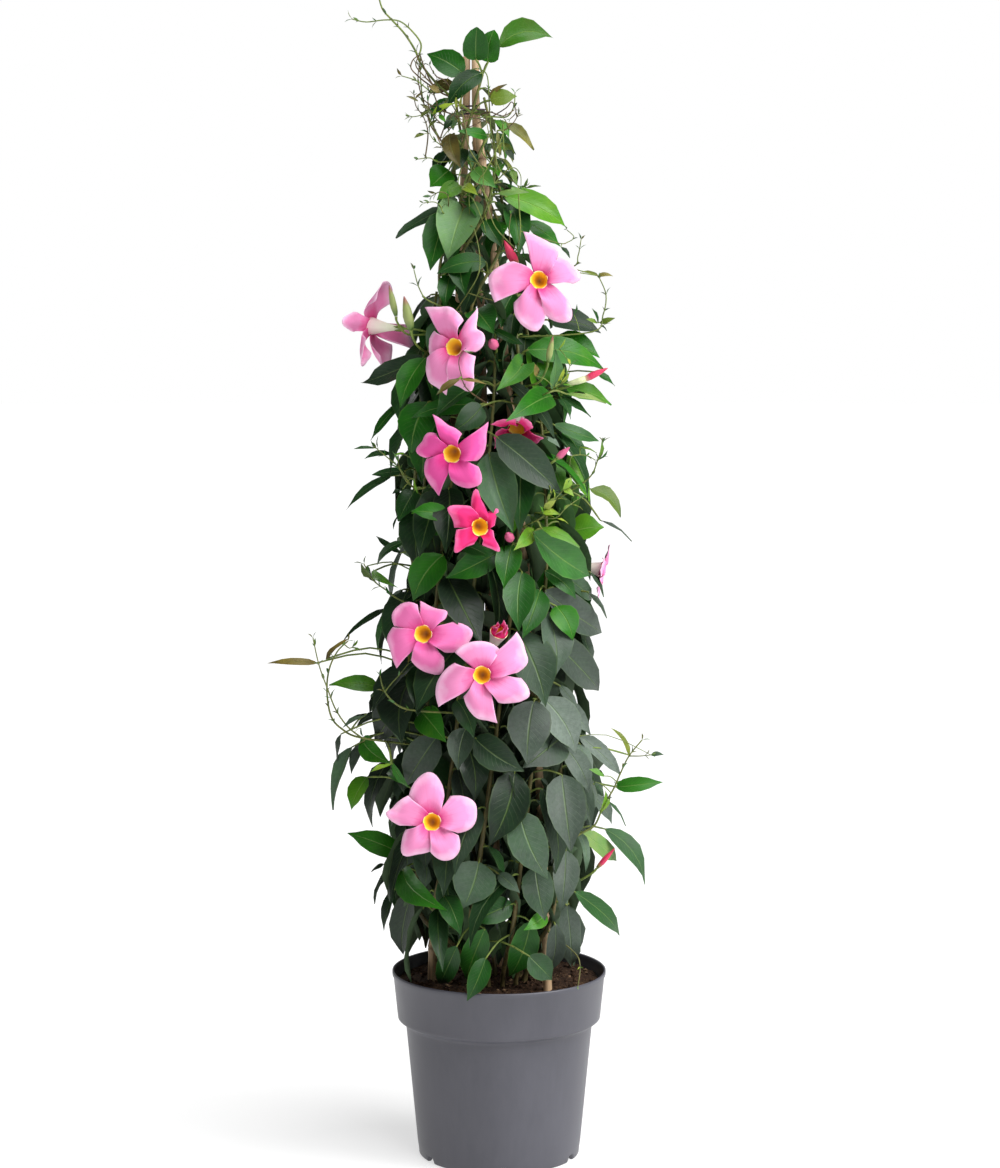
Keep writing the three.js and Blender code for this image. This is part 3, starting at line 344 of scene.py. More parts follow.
def add_lathe(
    shape: BMesh, profile: Sequence[tuple[float, float]], steps: int, material: int = 0
) -> list[BMVert]:
    """Spins a profile round the Z axis into a closed shape.

    Args:
        shape: the mesh.
        profile: radii and heights, from pole to pole.
        steps: how many faces go round.
        material: its material slot.

    Returns:
        The vertices of the shape.
    """
    points = [shape.verts.new((radius, 0.0, height)) for radius, height in profile]
    edges = [shape.edges.new(pair) for pair in zip(points, points[1:])]
    before = set(shape.verts) - set(points)
    turn = {"cent": (0, 0, 0), "axis": (0, 0, 1), "angle": 2 * pi, "steps": steps}
    bmesh.ops.spin(shape, geom=points + edges, use_merge=True, **turn)
    verts = [vert for vert in shape.verts if vert not in before]
    poles = [vert for vert in verts if hypot(vert.co.x, vert.co.y) < 1e-7]
    bmesh.ops.remove_doubles(shape, verts=poles, dist=1e-6)
    verts = [vert for vert in verts if vert.is_valid]
    bmesh.ops.recalc_face_normals(shape, faces=faces_of(verts))
    dress(verts, material)
    return verts


@dataclass(frozen=True)
class Blade:
    """A thin closed blade, such as a leaf: rows of share of length and width, and the cleft at its base."""

    outline: Pairs
    across: int = 4
    thickness: float = 0.0007
    cleft: float = 0.0

    def add(
        self, shape: BMesh, place: Callable[[float, float, float], Vector], upper: int, under: int
    ) -> list[BMVert]:
        """Adds one blade to a mesh.

        Args:
            shape: the mesh.
            place: gives the point at a place across (-1 to 1) and shares of the length and width.
            upper: material slot of the upper face.
            under: material slot of the under face.

        Returns:
            The vertices of the blade.
        """
        rows = len(self.outline) - 1
        sheet = bmesh.ops.create_grid(shape, x_segments=self.across, y_segments=rows, size=1.0, calc_uvs=True)
        top = sheet["verts"]
        top_faces = faces_of(top)
        edges = list({edge: None for face in top_faces for edge in face.edges})
        for vert in top:
            share, width = self.outline[round((vert.co.y + 1) / 2 * rows)]
            vert.co = place(vert.co.x, share, width)
        for face in top_faces:
            face.normal_update()
            face.smooth = True
        copied = bmesh.ops.duplicate(shape, geom=top + edges + top_faces)["geom"]
        bottom = [item for item in copied if isinstance(item, BMVert)]
        bottom_faces = [item for item in copied if isinstance(item, BMFace)]
        lifts = {}
        for side, verts in ((1, top), (-1, bottom)):
            for vert in verts:
                if not any(edge.is_boundary for edge in vert.link_edges):
                    vert.normal_update()
                    lifts[vert] = vert.normal * (side * self.thickness / 2)
        rim = [vert for vert in top + bottom if vert not in lifts]
        bmesh.ops.reverse_faces(shape, faces=bottom_faces)
        for vert, lift in lifts.items():
            vert.co += lift
        for faces, material in ((top_faces, upper), (bottom_faces, under)):
            for face in faces:
                face.material_index = material
        bmesh.ops.remove_doubles(shape, verts=rim, dist=1e-8)
        self.crease({vert for vert in rim if vert.is_valid})
        return [vert for vert in top + bottom if vert.is_valid]

    @staticmethod
    def crease(rim: set[BMVert]) -> None:
        """Marks the edges where two materials meet as sharp.

        Args:
            rim: the vertices of the rim.
        """
        for vert in rim:
            for edge in vert.link_edges:
                finishes = {face.material_index for face in edge.link_faces}
                if edge.other_vert(vert) in rim and len(finishes) > 1:
                    edge.smooth = False


def append(shape: BMesh, part: BMesh) -> None:
    """Adds a small mesh to a larger one.

    Args:
        shape: the mesh that grows.
        part: the mesh that is added, which is freed.
    """
    carrier = bpy.data.meshes.new("carrier")
    part.to_mesh(carrier)
    part.free()
    shape.from_mesh(carrier)
    bpy.data.meshes.remove(carrier)


def finish_piece(
    shape: BMesh, name: str, materials: Sequence[Material], slot: str, nodes: Sequence[str]
) -> Object:
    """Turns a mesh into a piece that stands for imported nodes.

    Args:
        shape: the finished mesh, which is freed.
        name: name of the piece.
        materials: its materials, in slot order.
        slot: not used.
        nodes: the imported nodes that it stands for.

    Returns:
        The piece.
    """
    mesh = bpy.data.meshes.new(name)
    shape.to_mesh(mesh)
    shape.free()
    for material in materials:
        mesh.materials.append(material)
    piece = bpy.data.objects.new(name, mesh)
    bpy.context.scene.collection.objects.link(piece)
    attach(piece, BODY)
    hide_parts(*nodes)
    log.info("%s: %d faces, for %s", name, len(mesh.polygons), ", ".join(nodes))
    return piece


# ---- finishes


class Surface:
    """A node material: one shader, and short ways to feed it."""

    def __init__(self, name: str, **constants: float) -> None:
        """Starts a material.

        Args:
            name: name of the material.
            constants: shader sockets, with _ for a space, and their values.
        """
        self.material = bpy.data.materials.new(name)
        self.material.use_nodes = True
        self.tree = self.material.node_tree
        self.shader = self.tree.nodes["Principled BSDF"]
        for socket, value in constants.items():
            self.shader.inputs[socket.replace("_", " ")].default_value = value

    def node(self, kind: str, links: dict[str | int, object], **settings: object) -> Node:
        """Adds a node.

        Args:
            kind: type of the node, without its ShaderNode prefix.
            links: inputs by name or number, each a socket to join or a value to set.
            settings: properties of the node.

        Returns:
            The node.
        """
        node = self.tree.nodes.new("ShaderNode" + kind)
        for name, value in settings.items():
            setattr(node, name, value)
        for name, value in links.items():
            if isinstance(value, NodeSocket):
                self.tree.links.new(value, node.inputs[name])
            else:
                node.inputs[name].default_value = value
        return node

    def feed(self, socket: str, source: NodeSocket) -> None:
        """Joins a source to a socket of the shader."""
        self.tree.links.new(source, self.shader.inputs[socket])

    def spot(self, scale: Point = (1, 1, 1)) -> NodeSocket:
        """Returns the object's own coordinates, scaled."""
        coordinates = self.node("TexCoord", {}).outputs["Object"]
        return self.node("Mapping", {"Vector": coordinates, "Scale": scale}).outputs["Vector"]

    def chart(self) -> tuple[NodeSocket, NodeSocket, NodeSocket]:
        """Reads the piece's UV map.

        Returns:
            The place across it, the place along it, and the distance from its middle line (0 to 1).
        """
        parts = self.node("SeparateXYZ", {"Vector": self.node("UVMap", {}, uv_map="UVMap").outputs["UV"]})
        across, along = parts.outputs["X"], parts.outputs["Y"]
        aside = self.maths("ABSOLUTE", self.maths("MULTIPLY_ADD", across, 2.0, -1.0))
        return across, along, aside

    def layer(self, name: str) -> NodeSocket:
        """Returns a named value of the mesh."""
        return self.node("Attribute", {}, attribute_name=name).outputs["Fac"]

    def noise(
        self, vector: NodeSocket, scale: float, detail: float = 3.0, roughness: float = 0.5
    ) -> NodeSocket:
        """Returns a noise from 0 to 1."""
        links = {"Vector": vector, "Scale": scale, "Detail": detail, "Roughness": roughness}
        return self.node("TexNoise", links).outputs["Fac"]

    def maths(self, operation: str, *values: object) -> NodeSocket:
        """Returns the result of a sum on up to three values or sockets."""
        return self.node("Math", dict(enumerate(values)), operation=operation).outputs["Value"]

    def times(self, first: NodeSocket, second: object) -> NodeSocket:
        """Returns the product of two values."""
        return self.maths("MULTIPLY", first, second)

    def stirred(self, value: NodeSocket, grain: NodeSocket, reach: float) -> NodeSocket:
        """Returns a value that a grain moves by up to half a reach either way."""
        return self.maths("MULTIPLY_ADD", self.maths("SUBTRACT", grain, 0.5), reach, value)

    def span(
        self, value: NodeSocket, low: float, high: float, first: float = 0.0, last: float = 1.0
    ) -> NodeSocket:
        """Returns a value moved from the range low to high onto first to last, and held there."""
        links = {"Value": value, "From Min": low, "From Max": high, "To Min": first, "To Max": last}
        return self.node("MapRange", links, interpolation_type="SMOOTHSTEP").outputs["Result"]

    def ramp(self, factor: NodeSocket, *stops: tuple[float, str]) -> NodeSocket:
        """Blends from colour to colour.

        Args:
            factor: where to read the blend.
            stops: position and code of each colour.

        Returns:
            The colour at the factor.
        """
        node = self.node("ValToRGB", {"Fac": factor})
        marks = node.color_ramp.elements
        while len(marks) < len(stops):
            marks.new(0.5)
        for stop, (position, code) in zip(marks, stops):
            stop.position = position
            stop.color = tint(code)
        return node.outputs["Color"]

    def mix(self, factor: object, first: object, second: object) -> NodeSocket:
        """Returns two colours or sockets, mixed by a factor."""
        return self.node("Mix", {0: factor, 6: first, 7: second}, data_type="RGBA").outputs[2]

    def bump(self, height: NodeSocket, strength: float, distance: float) -> None:
        """Raises the surface by a height, in metres of distance."""
        links = {"Height": height, "Strength": strength, "Distance": distance}
        self.feed("Normal", self.node("Bump", links).outputs["Normal"])


@dataclass(frozen=True)
class PotPlastic:
    """Satin moulded plastic with a little dusting."""

    name: str = "pot_plastic"
    body: str = "47474f"
    dusty: str = "53535b"

    def make(self) -> Material:
        """Returns the material."""
        surface = Surface(self.name, Specular_IOR_Level=0.5)
        cloud = surface.noise(surface.spot((1, 1, 0.7)), 14, 4)
        scuff = surface.noise(surface.spot((1, 1, 0.25)), 120, 4, 0.6)
        grime = surface.maths("MULTIPLY_ADD", scuff, 0.3, surface.times(cloud, 0.7))
        surface.feed("Base Color", surface.ramp(grime, (0.32, self.body), (0.68, self.dusty)))
        surface.feed("Roughness", surface.span(grime, 0.3, 0.7, 0.38, 0.48))
        surface.bump(surface.noise(surface.spot(), 900, 2), 0.1, 0.0004)
        return surface.material


@dataclass(frozen=True)
class Peat:
    """Dark potting soil with light crumbs and fibres."""

    name: str = "peat"

    def make(self) -> Material:
        """Returns the material."""
        surface = Surface(self.name, Roughness=0.95, Specular_IOR_Level=0.2)
        coarse = surface.noise(surface.spot(), 70, 6, 0.7)
        fine = surface.noise(surface.spot(), 420, 4, 0.7)
        grain = surface.maths("MULTIPLY_ADD", fine, 0.6, surface.times(coarse, 0.4))
        earth = surface.ramp(grain, (0.3, "160e0a"), (0.46, "33231a"), (0.58, "57402f"), (0.68, "9c8468"))
        bark = surface.ramp(fine, (0.35, "6b4a34"), (0.65, "b59a78"))
        surface.feed("Base Color", surface.mix(surface.layer("bark"), earth, bark))
        surface.bump(grain, 0.9, 0.004)
        return surface.material


@dataclass(frozen=True)
class Bamboo:
    """Dried bamboo: pale tan with long streaks and darker rings at the knots."""

    name: str = "bamboo"
    pale: str = "d6b893"
    deep: str = "a08060"
    ring: str = "76593f"

    def make(self) -> Material:
        """Returns the material."""
        surface = Surface(self.name, Specular_IOR_Level=0.4)
        streak = surface.noise(surface.spot((420, 420, 9)), 1, 4, 0.6)
        blotch = surface.noise(surface.spot((1, 1, 0.4)), 38, 3)
        wood = surface.ramp(streak, (0.3, self.deep), (0.62, self.pale))
        aged = surface.mix(surface.span(blotch, 0.5, 0.75, 0, 0.5), wood, tint(self.deep))
        surface.feed("Base Color", surface.mix(surface.layer("knot"), aged, tint(self.ring)))
        surface.feed("Roughness", surface.span(streak, 0.2, 0.8, 0.45, 0.65))
        surface.bump(streak, 0.25, 0.0006)
        return surface.material


@dataclass(frozen=True)
class CoatedWire:
    """Purple-brown coated wire."""

    name: str = "coated_wire"

    def make(self) -> Material:
        """Returns the material."""
        surface = Surface(self.name, Specular_IOR_Level=0.5)
        wear = surface.noise(surface.spot(), 240, 3)
        surface.feed("Base Color", surface.ramp(wear, (0.35, "2b1d26"), (0.65, "5b4350")))
        surface.feed("Roughness", surface.span(wear, 0.3, 0.7, 0.35, 0.6))
        surface.bump(wear, 0.2, 0.0004)
        return surface.material


@dataclass(frozen=True)
class StemBark:
    """Twining stem: brown and woody when old, green and reddish when tender."""

    name: str = "stem_bark"

    def make(self) -> Material:
        """Returns the material."""
        surface = Surface(self.name, Specular_IOR_Level=0.4)
        spots = surface.noise(surface.spot((1, 1, 0.35)), 190, 4, 0.6)
        woody = surface.ramp(spots, (0.3, "3a2f1e"), (0.55, "5d4a30"), (0.75, "84704e"))
        tender = surface.ramp(spots, (0.3, "4f6a2a"), (0.6, "7d9440"), (0.8, "8a6a3c"))
        surface.feed("Base Color", surface.mix(surface.layer("tender"), woody, tender))
        surface.feed("Roughness", surface.span(spots, 0.2, 0.8, 0.45, 0.7))
        surface.bump(spots, 0.3, 0.0005)
        return surface.material


class LeafFace(Enum):
    """The two faces of a leaf."""

    UPPER = "leaf_upper"
    UNDER = "leaf_under"


@dataclass(frozen=True)
class LeafSkin:
    """One face of a leaf: green, darker on older leaves and as painted shade, greyed by dusting and by
    painted sheen, with a pale midrib and side veins that lean to the tip.
    """

    face: LeafFace
    veins: float = 15.0
    slant: float = 0.2

    # Greens from young to old leaves; the darkest stops also serve as painted shade for leaves deep in the
    # column.
    GREENS = (
        (0.0, "a0b038"), (0.2, "5a901e"), (0.4, "2a7010"), (0.6, "17500d"), (0.8, "10330f"), (1.0, "091c0b")
    )

    def make(self) -> Material:
        """Returns the material."""
        upper = self.face is LeafFace.UPPER
        surface = Surface(self.face.value, Specular_IOR_Level=0.24 if upper else 0.15)
        _, along, aside = surface.chart()
        age, dust = surface.layer("age"), surface.layer("dust")
        cloud = surface.noise(surface.spot(), 45, 4)
        speck = surface.noise(surface.spot(), 260, 3, 0.6)
        ribs, lines = self.veining(surface, along, aside)
        green = surface.ramp(surface.stirred(age, cloud, 0.35), *self.GREENS)
        # Grey over the green, in specks: partly dusting, partly painted sheen where the lamps glance off the
        # leaf.
        cover = surface.times(surface.maths("POWER", dust, 1.5), surface.span(speck, 0.2, 0.8, 0.6, 0.9))
        greyed = surface.mix(cover, green, tint("7d8980"))
        bronze = surface.ramp(cloud, (0.35, "5a472c"), (0.65, "8c7a38"))
        bronzed = surface.mix(surface.layer("bronze"), greyed, bronze)
        faint = surface.span(age, 0.35, 0.9, 0.4, 0.2)
        veined = surface.mix(surface.times(lines, faint), bronzed, tint("8fb05c"))
        surface.feed("Base Color", veined if upper else surface.mix(0.45, veined, tint("6d8463")))
        gloss = surface.maths("MULTIPLY_ADD", dust, 0.16, 0.27 if upper else 0.5)
        surface.feed("Roughness", surface.maths("MULTIPLY_ADD", speck, 0.12, gloss))
        relief = surface.maths("SUBTRACT", surface.times(cloud, 0.35), ribs)
        surface.bump(relief, 0.45 if upper else -0.45, 0.0012)
        return surface.material

    def veining(
        self, surface: Surface, along: NodeSocket, aside: NodeSocket
    ) -> tuple[NodeSocket, NodeSocket]:
        """Draws the ribs of the leaf.

        Args:
            surface: the material.
            along: the place along the leaf.
            aside: the distance from its midrib.

        Returns:
            The midrib and side veins, and the same with the pale rim.
        """
        rib = surface.span(aside, 0.0, 0.075, 1.0, 0.0)
        lean = surface.maths("MULTIPLY_ADD", aside, -self.slant, along)
        ripple = surface.maths("PINGPONG", surface.times(lean, self.veins), 0.5)
        vein = surface.times(surface.span(ripple, 0.0, 0.09, 1.0, 0.0), surface.span(aside, 0.9, 0.6))
        rim = surface.times(surface.span(aside, 0.9, 1.0), 0.4)
        ribs = surface.maths("MAXIMUM", rib, surface.times(vein, 0.2))
        return ribs, surface.maths("MAXIMUM", ribs, rim)


@dataclass(frozen=True)
class PetalSkin:
    """Soft petal: deepest by the throat and palest at its rim, whose pale line is partly a painted edge
    highlight, with fine streaks from root to tip.
    """

    name: str
    deep: str
    flush: str
    rim: str

    def make(self) -> Material:
        """Returns the material."""
        surface = Surface(self.name, Roughness=0.7, Specular_IOR_Level=0.12)
        side, along, aside = surface.chart()
        cloud = surface.noise(surface.spot(), 70, 3)
        fan = surface.node("CombineXYZ", {"X": surface.times(side, 30.0), "Y": along})
        thread = surface.noise(fan.outputs["Vector"], 1.0, 4, 0.6)
        worn = surface.stirred(along, cloud, 0.5)
        skin = surface.ramp(worn, (0.0, self.deep), (0.36, self.flush), (0.72, self.flush), (1.0, self.rim))
        # Pale line along the sides and tip of the lobe: partly a paler margin, partly a painted edge
        # highlight.
        pale_rim_and_highlight = surface.maths("MAXIMUM", surface.span(aside, 0.84, 1.0), surface.span(along, 0.93, 1.0))
        edge = surface.times(pale_rim_and_highlight, surface.span(along, 0.35, 0.6))
        skin_with_pale_rim_and_highlight = surface.mix(surface.times(edge, 0.8), skin, tint(self.rim))
        streaks = surface.span(along, 0.9, 0.05, 0.08, 0.6)
        depth = surface.times(surface.span(thread, 0.5, 0.75), streaks)
        surface.feed("Base Color", surface.mix(depth, skin_with_pale_rim_and_highlight, tint(self.deep)))
        surface.bump(thread, 0.2, 0.0008)
        return surface.material


@dataclass(frozen=True)
class ThroatSkin:
    """Flower throat: amber deep down and darkest there, partly as painted shade in the tube, yellow at the
    mouth, greenish white down the tube's outside.
    """

    name: str = "flower_throat"

    # From the deepest point inside, up to the lip and down the outside of the tube; the darkest amber at the
    # bottom is partly painted shade.
    STOPS = (
        (0.0, "8a5410"), (0.12, "c98418"), (0.22, "efae22"), (0.34, "fac732"), (0.43, "fde07c"),
        (0.49, "fef0cc"), (0.56, "f5c4d0"), (0.66, "f0dcd6"), (0.8, "eef0d8"), (1.0, "b9c890"),
    )

    def make(self) -> Material:
        """Returns the material."""
        surface = Surface(self.name, Roughness=0.45, Specular_IOR_Level=0.35)
        grain = surface.noise(surface.spot(), 300, 3)
        course = surface.stirred(surface.layer("course"), grain, 0.06)
        surface.feed("Base Color", surface.ramp(course, *self.STOPS))
        surface.bump(grain, 0.1, 0.0005)
        return surface.material


@dataclass(frozen=True)
class BudSkin:
    """Furled bud: green at the base and pink to its tip."""

    name: str
    base: str
    flush: str
    tip: str

    def make(self) -> Material:
        """Returns the material."""
        surface = Surface(self.name, Roughness=0.42, Specular_IOR_Level=0.4)
        grain = surface.noise(surface.spot(), 150, 3)
        course = surface.stirred(surface.layer("course"), grain, 0.2)
        stops = ((0.05, self.base), (0.28, self.flush), (0.7, self.flush), (0.95, self.tip))
        surface.feed("Base Color", surface.ramp(course, *stops))
        surface.bump(grain, 0.15, 0.0004)
        return surface.material


@dataclass(frozen=True)
class StudioPaper:
    """Pale floor of the studio, lit a little from below."""

    name: str = "studio_paper"
    glow: float = 0.62

    def make(self) -> Material:
        """Returns the material."""
        surface = Surface(self.name, Roughness=0.9, Specular_IOR_Level=0.1, Emission_Strength=self.glow)
        cloud = surface.noise(surface.spot(), 1.5, 2)
        surface.feed("Base Color", surface.ramp(cloud, (0.3, "b0b0b0"), (0.7, "b4b4b4")))
        surface.feed("Emission Color", surface.ramp(cloud, (0.3, "fdfdfd"), (0.7, "ffffff")))
        return surface.material


def made_once(finish: PetalSkin | ThroatSkin | BudSkin | StemBark) -> Material:
    """Returns the material of a finish that several pieces share, made at its first use."""
    return bpy.data.materials.get(finish.name) or finish.make()


# ---- pot and soil


@dataclass
class NurseryPot:
    """The moulded pot: a rim band over a tapering wall, on a notched foot ring."""

    height: float = 0.210
    rim_radius: float = 0.120
    band_radius: float = 0.1135
    band_height: float = 0.055
    neck_radius: float = 0.105
    heel_radius: float = 0.091
    foot_ring: float = 0.008
    hub_radius: float = 0.044
    wall: float = 0.002
    steps: int = 144
    notches: int = 6
    notch_width: float = 0.013
    notch_height: float = 0.0076
    first_notch: float = -28.0

    def inside(self, gap: float) -> list[tuple[float, float]]:
        """Lays out the inner wall.

        Args:
            gap: how far it is pushed in.

        Returns:
            Its radii and heights, from the middle of the floor to the lip.
        """
        wall = self.wall + gap
        floor = self.foot_ring + wall
        under = self.height - self.band_height
        return [
            (0.0, wall),
            (self.hub_radius - wall, wall),
            (self.hub_radius + 0.002 - gap, floor),
            (self.heel_radius - 0.003 - wall, floor),
            (self.heel_radius - wall, floor + 0.005),
            (self.neck_radius - wall, under - 0.006),
            (self.band_radius - wall, under + 0.002),
        ]

    def outside(self) -> list[tuple[float, float]]:
        """Lays out the outer wall.

        Returns:
            Its radii and heights, from the lip down to the middle of the foot.
        """
        rim, band, neck = self.rim_radius, self.band_radius, self.neck_radius
        heel, hub = self.heel_radius, self.hub_radius
        top, under = self.height, self.height - self.band_height
        return [
            (rim - self.wall - 0.0004, top - 0.004), (rim - self.wall - 0.0002, top - 0.001),
            (rim - self.wall * 0.5, top), (rim, top - 0.0006), (rim + 0.0002, top - 0.002),
            (rim + 0.0001, top - 0.0052), (rim - 0.0012, top - 0.0066),
            (band + 0.0008, under + 0.004), (band + 0.0004, under + 0.001), (band - 0.0006, under),
            (band - 0.003, under - 0.0012), (neck + 0.0006, under - 0.0045),
            (neck, under - 0.007), (neck - 0.0006, under - 0.012),
            (heel + 0.0012, 0.016), (heel + 0.0002, 0.0085), (heel, 0.0078), (heel - 0.0006, 0.0012),
            (heel - 0.0022, 0.0), (heel - 0.005, 0.0), (heel - 0.0066, 0.0012),
            (heel - 0.007, self.foot_ring), (hub + 0.002, self.foot_ring), (hub, 0.0), (0.0, 0.0),
        ]

    def cut_notches(self, shape: BMesh) -> None:
        """Lifts the foot ring into a notch at each drain.

        Args:
            shape: the mesh of the pot.
        """
        reach = self.notch_width / 2 / self.heel_radius
        for k in range(self.notches):
            aim = radians(self.first_notch - 360 * k / self.notches)
            for vert in shape.verts:
                radius = hypot(vert.co.x, vert.co.y)
                off = atan2(vert.co.y, vert.co.x) - aim
                off = (off + pi) % (2 * pi) - pi
                if radius > self.hub_radius + 0.03 and vert.co.z < 0.003 and abs(off) < reach:
                    vert.co.z = self.notch_height - 0.0006 + vert.co.z * 0.1

    def build(self) -> Object:
        """Returns the finished pot."""
        shape = blank(chart=False)
        add_lathe(shape, self.inside(0.0) + self.outside(), self.steps)
        self.cut_notches(shape)
        return finish_piece(shape, "nursery_pot", [PotPlastic().make()], "pot", ["pot"])


@dataclass
class PottingSoil:
    """The soil: a plug that fills the pot, with a lumpy face and loose crumbs."""

    pot: NurseryPot
    level: float = APEX.soil_level
    lump: float = 0.003
    gap: float = 0.0004
    steps: int = 96
    rings: int = 26
    crumbs: int = 620
    bark_share: float = 0.16
    seed: int = 11

    def height_at(self, x: float, y: float) -> float:
        """Works out the height of the face at a place.

        Args:
            x: distance of the place to the right.
            y: distance of the place to the back.

        Returns:
            The height.
        """
        lumps = sin(x * 110 + 1) * cos(y * 130) + 0.6 * sin((x + y) * 70 + 2)
        grain = sin(x * 640 + 3 * sin(y * 310)) * sin(y * 570 + 2 * sin(x * 420))
        return self.level + self.lump * lumps * 0.6 + 0.0011 * grain

    def build(self) -> Object:
        """Returns the finished soil."""
        shape = blank("bark", chart=False)
        reach = between(self.pot.band_radius, self.pot.rim_radius, 0.75) - self.pot.wall - self.gap - 0.001
        wall = [point for point in self.pot.inside(self.gap) if point[1] < self.level - 0.004]
        face = [(reach * (1 - k / self.rings), self.level) for k in range(self.rings + 1)]
        for vert in add_lathe(shape, wall + face, self.steps):
            if vert.co.z > self.level - 0.001:
                vert.co.z = self.height_at(vert.co.x, vert.co.y)
        self.add_crumbs(shape, reach)
        return finish_piece(shape, "potting_soil", [Peat().make()], "soil", ["soil"])

    def add_crumbs(self, shape: BMesh, reach: float) -> None:
        """Scatters loose crumbs over the face.

        Args:
            shape: the mesh of the soil.
            reach: radius of the face.
        """
        dice = Random(self.seed)
        for _ in range(self.crumbs):
            angle = dice.uniform(0, 2 * pi)
            radius = (reach - 0.004) * sqrt(dice.random())
            x, y = radius * cos(angle), radius * sin(angle)
            size = dice.uniform(0.0009, 0.0032)
            part = blank("bark", chart=False)
            crumb = bmesh.ops.create_icosphere(part, subdivisions=1, radius=size)["verts"]
            mark(part, crumb, bark=0.9 if dice.random() < self.bark_share else 0.0)
            squash = Vector((dice.uniform(0.7, 1.3), dice.uniform(0.7, 1.3), dice.uniform(0.5, 0.9)))
            for vert in crumb:
                vert.co = vert.co * dice.uniform(0.75, 1.2) * squash
            bmesh.ops.translate(part, verts=crumb, vec=(x, y, self.height_at(x, y) + size * 0.2))
            dress(crumb, 0)
            append(shape, part)


# ---- canes and tie


@dataclass(frozen=True)
class Cane:
    """One bamboo cane: its foot in the soil, its bow and its head."""

    node: str
    base: tuple[float, float]
    bow: float
    top: float
    apex_angle: float

    def point(self, z: float) -> Vector:
        """Finds the middle of the cane at a height.

        Args:
            z: the height.

        Returns:
            The point.
        """
        climb = min(APEX.climb(z), 1.0)
        head = radians(self.apex_angle)
        bow = self.bow * 4 * climb * (1 - climb)
        outward = atan2(self.base[1], self.base[0])
        x = between(self.base[0], APEX.lean + APEX.spread * cos(head), climb)
        y = between(self.base[1], APEX.spread * sin(head), climb)
        return Vector((x + bow * cos(outward), y + bow * sin(outward), z))


@dataclass
class BambooPyramid:
    """Three canes drawn together near their heads."""

    canes: tuple[Cane, ...] = (
        Cane("cane_left", (-0.076, 0.008), 0.0, 1.223, 180),
        Cane("cane_right", (0.054, -0.050), 0.018, 1.228, -60),
        Cane("cane_back", (0.0, 0.073), 0.006, 1.214, 60),
    )
    root_depth: float = 0.140
    base_radius: float = 0.005
    top_radius: float = 0.004
    knot_spacing: float = 0.220
    plain_rows: int = 30
    sides: int = 20

    # Rows of a knot: height over its middle, swelling and shade of its ring.
    KNOT = (
        (-0.009, 0, 0), (-0.004, 0.0005, 0.1), (-0.0015, 0.001, 0.6), (-0.0004, 0.0004, 1),
        (0.0012, 0.0011, 0.7), (0.004, 0.0007, 0.15), (0.009, 0, 0),
    )

    def rows(self, cane: Cane) -> list[Point]:
        """Lists the rows of a cane.

        Args:
            cane: the cane.

        Returns:
            The height, swelling and ring shade of each row, from the foot up.
        """
        bottom = APEX.soil_level - self.root_depth
        first = bottom + self.knot_spacing * 0.8
        knots = [first + k * self.knot_spacing for k in range(8)]
        knots = [knot for knot in knots if knot < cane.top - 0.1]
        plain = [bottom + (cane.top - bottom) * k / self.plain_rows for k in range(self.plain_rows + 1)]
        rows = [(z, 0.0, 0.0) for z in plain if all(abs(z - knot) > 0.012 for knot in knots)]
        for knot in knots:
            rows += [(knot + above, swell, ring) for above, swell, ring in self.KNOT]
        return sorted(rows)

    def build(self) -> list[Object]:
        """Returns the finished canes."""
        finish = Bamboo().make()
        pieces = []
        for cane in self.canes:
            rows = self.rows(cane)
            bottom = rows[0][0]
            route = [cane.point(z) for z, _, _ in rows]
            climbs = [(z - bottom) / (cane.top - bottom) for z, _, _ in rows]
            tapers = [between(self.base_radius, self.top_radius, climb) for climb in climbs]
            radii = [taper + swell for taper, (_, swell, _) in zip(tapers, rows)]
            shades = {round(z, 5): ring for z, _, ring in rows}
            shape = blank("knot")
            for vert in add_tube(shape, route, radii, self.sides):
                nearest = min(shades, key=lambda z, at=vert.co.z: abs(z - at))
                mark(shape, [vert], knot=shades[nearest])
            pieces.append(finish_piece(shape, "bamboo_" + cane.node, [finish], "cane", [cane.node]))
        return pieces


@dataclass
class WireTie:
    """Wire wound round the canes, with a twisted tail."""

    wire: float = 0.001
    turns: float = 2.5
    pitch: float = 0.004
    radius: float = 0.0135
    tail: float = 0.026
    per_turn: int = 24

    def build(self) -> Object:
        """Returns the finished tie."""
        start = APEX.height - self.pitch * self.turns * 0.5
        route = []
        for k in range(round(self.turns * self.per_turn) + 1):
            aside = heading(k / self.per_turn * 2 * pi + 2) * self.radius
            route.append(Vector((APEX.lean, 0, start + self.pitch * k / self.per_turn)) + aside)
        last = route[-1]
        away = Vector((last.x - APEX.lean, last.y, 0)).normalized()
        knee = last + away * self.tail * 0.4 + Vector((0.002, -0.002, 0.003))
        end = last + away * self.tail + Vector((0.008, -0.004, 0.004))
        route += smooth_route([last, knee, end], 6)[1:]
        shape = blank(chart=False)
        add_tube(shape, route, [self.wire] * len(route), 8)
        return finish_piece(shape, "wire_tie", [CoatedWire().make()], "tie", ["tie"])


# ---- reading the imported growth


@dataclass
class LeafSeat:
    """Where a leaf sits: base and tip, the way its face looks, its width and the place on its stem."""

    base: Vector
    tip: Vector
    up: Vector
    width: float
    root: Vector

    ARCH = 0.1

    def at(self, share: float) -> Vector:
        """Returns the point of the middle line at a share of the length."""
        arch = self.ARCH * (self.tip - self.base).length * 4 * share * (1 - share)
        return self.base.lerp(self.tip, share) + self.up * arch


